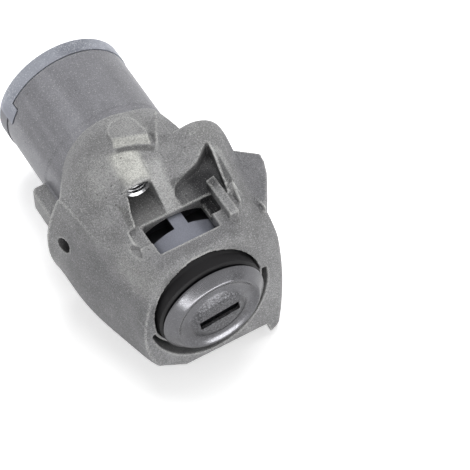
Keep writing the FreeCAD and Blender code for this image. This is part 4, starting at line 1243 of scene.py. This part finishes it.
@dataclass
class Studio:
    """White sweep, soft lamps and the camera of the photograph.

    The camera looks at target_mm from an azimuth round the lock and an elevation above the horizon, and it is
    rolled about its own line of sight. focal_px is its focal length in pixels of the photograph. The floor
    glows in the rays that see it straight, so that it is nearly as white as the world behind it.
    """

    azimuth_deg: float = -28.04
    elevation_deg: float = 54.25
    roll_deg: float = -2.74
    distance_mm: float = 601.8
    target_mm: Vector = field(default_factory=lambda: Vector((9.81, 9.73, 9.50)))
    focal_px: float = 2900.6
    sensor_mm: float = 36.0
    clip_m: Span = (0.02, 20.0)
    floor_size_mm: float = 4000.0
    floor_gap_mm: float = 0.2
    floor_roughness: float = 0.9
    floor_glow: float = 0.5
    world_strength: float = 0.4
    lamps: Sequence[Lamp] = (
        Lamp("key", (0.25, 0.35, 1.0), (0.5, 0.5), 4.4),
        Lamp("fill", (-0.2, -0.93, 0.1), (0.3, 0.3), 1.2),
        Lamp("strip", (-0.05, -0.95, 0.14), (1.2, 0.2), 6.4, in_gloss=True, on_matt=False))

    def camera(self) -> None:
        """Place the camera at the photograph's angle."""
        turn = math.radians(self.azimuth_deg)
        rise = math.radians(self.elevation_deg)
        back = Vector((math.sin(turn) * math.cos(rise), -math.cos(turn) * math.cos(rise), math.sin(rise)))
        data = bpy.data.cameras.new("photo_camera")
        data.sensor_width = self.sensor_mm
        data.lens = self.focal_px * self.sensor_mm / PHOTO_PIXELS
        data.clip_start, data.clip_end = self.clip_m
        camera = bpy.data.objects.new("photo_camera", data)
        bpy.context.scene.collection.objects.link(camera)
        look = (-back).to_track_quat("-Z", "Y").to_matrix().to_4x4()
        spin = Matrix.Rotation(math.radians(self.roll_deg), 4, "Z")
        place = Matrix.Translation((self.target_mm + back * self.distance_mm) * MM)
        camera.matrix_world = place @ look @ spin
        bpy.context.scene.camera = camera

    @staticmethod
    def direct_rays(shader: Shader) -> Socket:
        """Find the rays that see the background itself, straight, in metal or through glass.

        Args:
            shader: tree that receives the nodes.

        Returns:
            Socket of 1 for such rays and 0 for others.
        """
        rays = shader.add("ShaderNodeLightPath").outputs
        seen = shader.plus(rays["Is Camera Ray"], rays["Is Glossy Ray"], clamp=True)
        return shader.plus(seen, rays["Is Transmission Ray"], clamp=True)

    def world(self) -> None:
        """Light from all round, and white behind the lock."""
        world = bpy.data.worlds.new("studio")
        world.use_nodes = True
        bpy.context.scene.world = world
        shader = Shader(world.node_tree)
        world.node_tree.nodes.clear()
        light, white = (shader.add("ShaderNodeBackground", {"Color": WHITE, "Strength": strength}).outputs[0]
                        for strength in (self.world_strength, 1.0))
        either = shader.add("ShaderNodeMixShader", {0: self.direct_rays(shader), 1: light, 2: white})
        shader.add("ShaderNodeOutputWorld", {"Surface": either.outputs[0]})

    def floor(self, lowest: float) -> None:
        """Lay a pale floor just under the lock.

        Args:
            lowest: height of the lock's lowest point in metres.
        """
        Bench.clear()
        bpy.ops.mesh.primitive_plane_add(size=self.floor_size_mm * MM,
                                         location=(0.0, 0.0, lowest - self.floor_gap_mm * MM))
        floor = bpy.context.object
        floor.name = "studio_floor"
        Bench.settle(floor)
        material = bpy.data.materials.new("pale_floor")
        material.use_nodes = True
        surface = material.node_tree.nodes["Principled BSDF"]
        shader = Shader(material.node_tree)
        glow = shader.times(self.direct_rays(shader), self.floor_glow)
        for name, value in (("Base Color", WHITE), ("Roughness", self.floor_roughness),
                            ("Emission Color", WHITE), ("Emission Strength", glow)):
            shader.feed(surface.inputs[name], value)
        Bench.dress(floor, material)
        floor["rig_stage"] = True

    def build(self, lowest: float) -> None:
        """Set up the camera, the world, the floor and the lamps.

        Args:
            lowest: height of the lock's lowest point in metres.
        """
        self.camera()
        self.world()
        self.floor(lowest)
        for lamp in self.lamps:
            lamp.hang()
        bpy.context.scene.view_settings.view_transform = "Standard"


def finishes() -> Dict[Slot, Material]:
    """Build the material of every slot.

    Returns:
        The materials by slot.
    """
    made: List[Finish] = [
        CastZinc("die_cast_zinc", Slot.CASTING),
        # The plating's patch paints shade on the sleeve under the front edge of the window.
        Clouded("lavender_plating", Slot.PLATED, base=tone(116, 118, 128), bloom=tone(154, 157, 168),
                patches=(LightShadePatch((-12.0, 15.7, 8.4), (12.0, 19.9, 11.7), tone(28, 28, 31), 0.2),),
                pits=0.15, scratches=0.9, metallic=0.45),
        # The rear cap's patches paint the band darker on its lower left and paint shade on its left end.
        PressedSteel("rear_cap_sheet", Slot.REAR_CAP, roughness=(0.45, 0.6), worn_share=0.7, fleck_share=0.6,
                     patches=(LightShadePatch((-17.0, 60.0, -16.0), (-12.0, 69.3, 3.6), tone(120, 120, 124), 0.2),
                              LightShadePatch((-17.0, 60.0, 3.6), (-13.6, 68.8, 9.0), tone(134, 136, 145), 1.0))),
        PressedSteel("satin_stainless", Slot.STAINLESS, base=tone(102, 102, 105), shade=tone(70, 69, 71),
                     roughness=(0.2, 0.3), worn_share=0.6, fleck_share=0.12, rubbed_radius_mm=6.8),
        Drawn("spring_wire", Slot.SPRING),
        Drawn("wafer_brass", Slot.BRASS, base=tone(196, 164, 92), tarnish=tone(140, 112, 62), metallic=0.9),
        Clouded("seal_rubber", Slot.RUBBER, base=tone(9, 8, 10), bloom=tone(30, 29, 32), coarseness=1.6,
                cloud_step=(0.42, 0.75), cloud_share=0.6, roughness=(0.5, 0.75), shine=0.3,
                relief=(0.2, 0.03)),
    ]
    return {finish.slot: finish.build() for finish in made}


def main() -> None:
    """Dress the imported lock, add its own pieces and light it."""
    logging.basicConfig(level=logging.INFO, format="%(name)s: %(message)s")
    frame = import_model()
    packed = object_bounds()
    nodes = frame["nodes"]
    slots = {row["node"]: row["material_slot"] for row in frame["record"]["subparts"]}
    materials = finishes()
    cut_metal = Drawn("cut_thread", Slot.CASTING, base=tone(176, 176, 178), tarnish=tone(90, 90, 92)).build()
    # The stainless shutter flap is painted near white, as painted light in the shaded key slot.
    painted_light_flap = Drawn("shutter_flap", Slot.STAINLESS, base=tone(236, 236, 234), tarnish=tone(176, 175, 173),
                 metallic=0.0).build()
    for piece in (CastHousing(materials[Slot.CASTING]).build(nodes),
                  FacePressing(materials[Slot.STAINLESS]).build(),
                  *Springs(materials[Slot.SPRING]).build(), ScrewThread(cut_metal).build()):
        LOG.info("%s has %d faces", piece.name, len(piece.data.polygons))
    LOG.info("%d packed nodes dressed", PackedNodes(materials, {"shutter": painted_light_flap}).build(nodes, slots))
    Studio().build(packed[0].z)


if __name__ == "__main__":
    main()
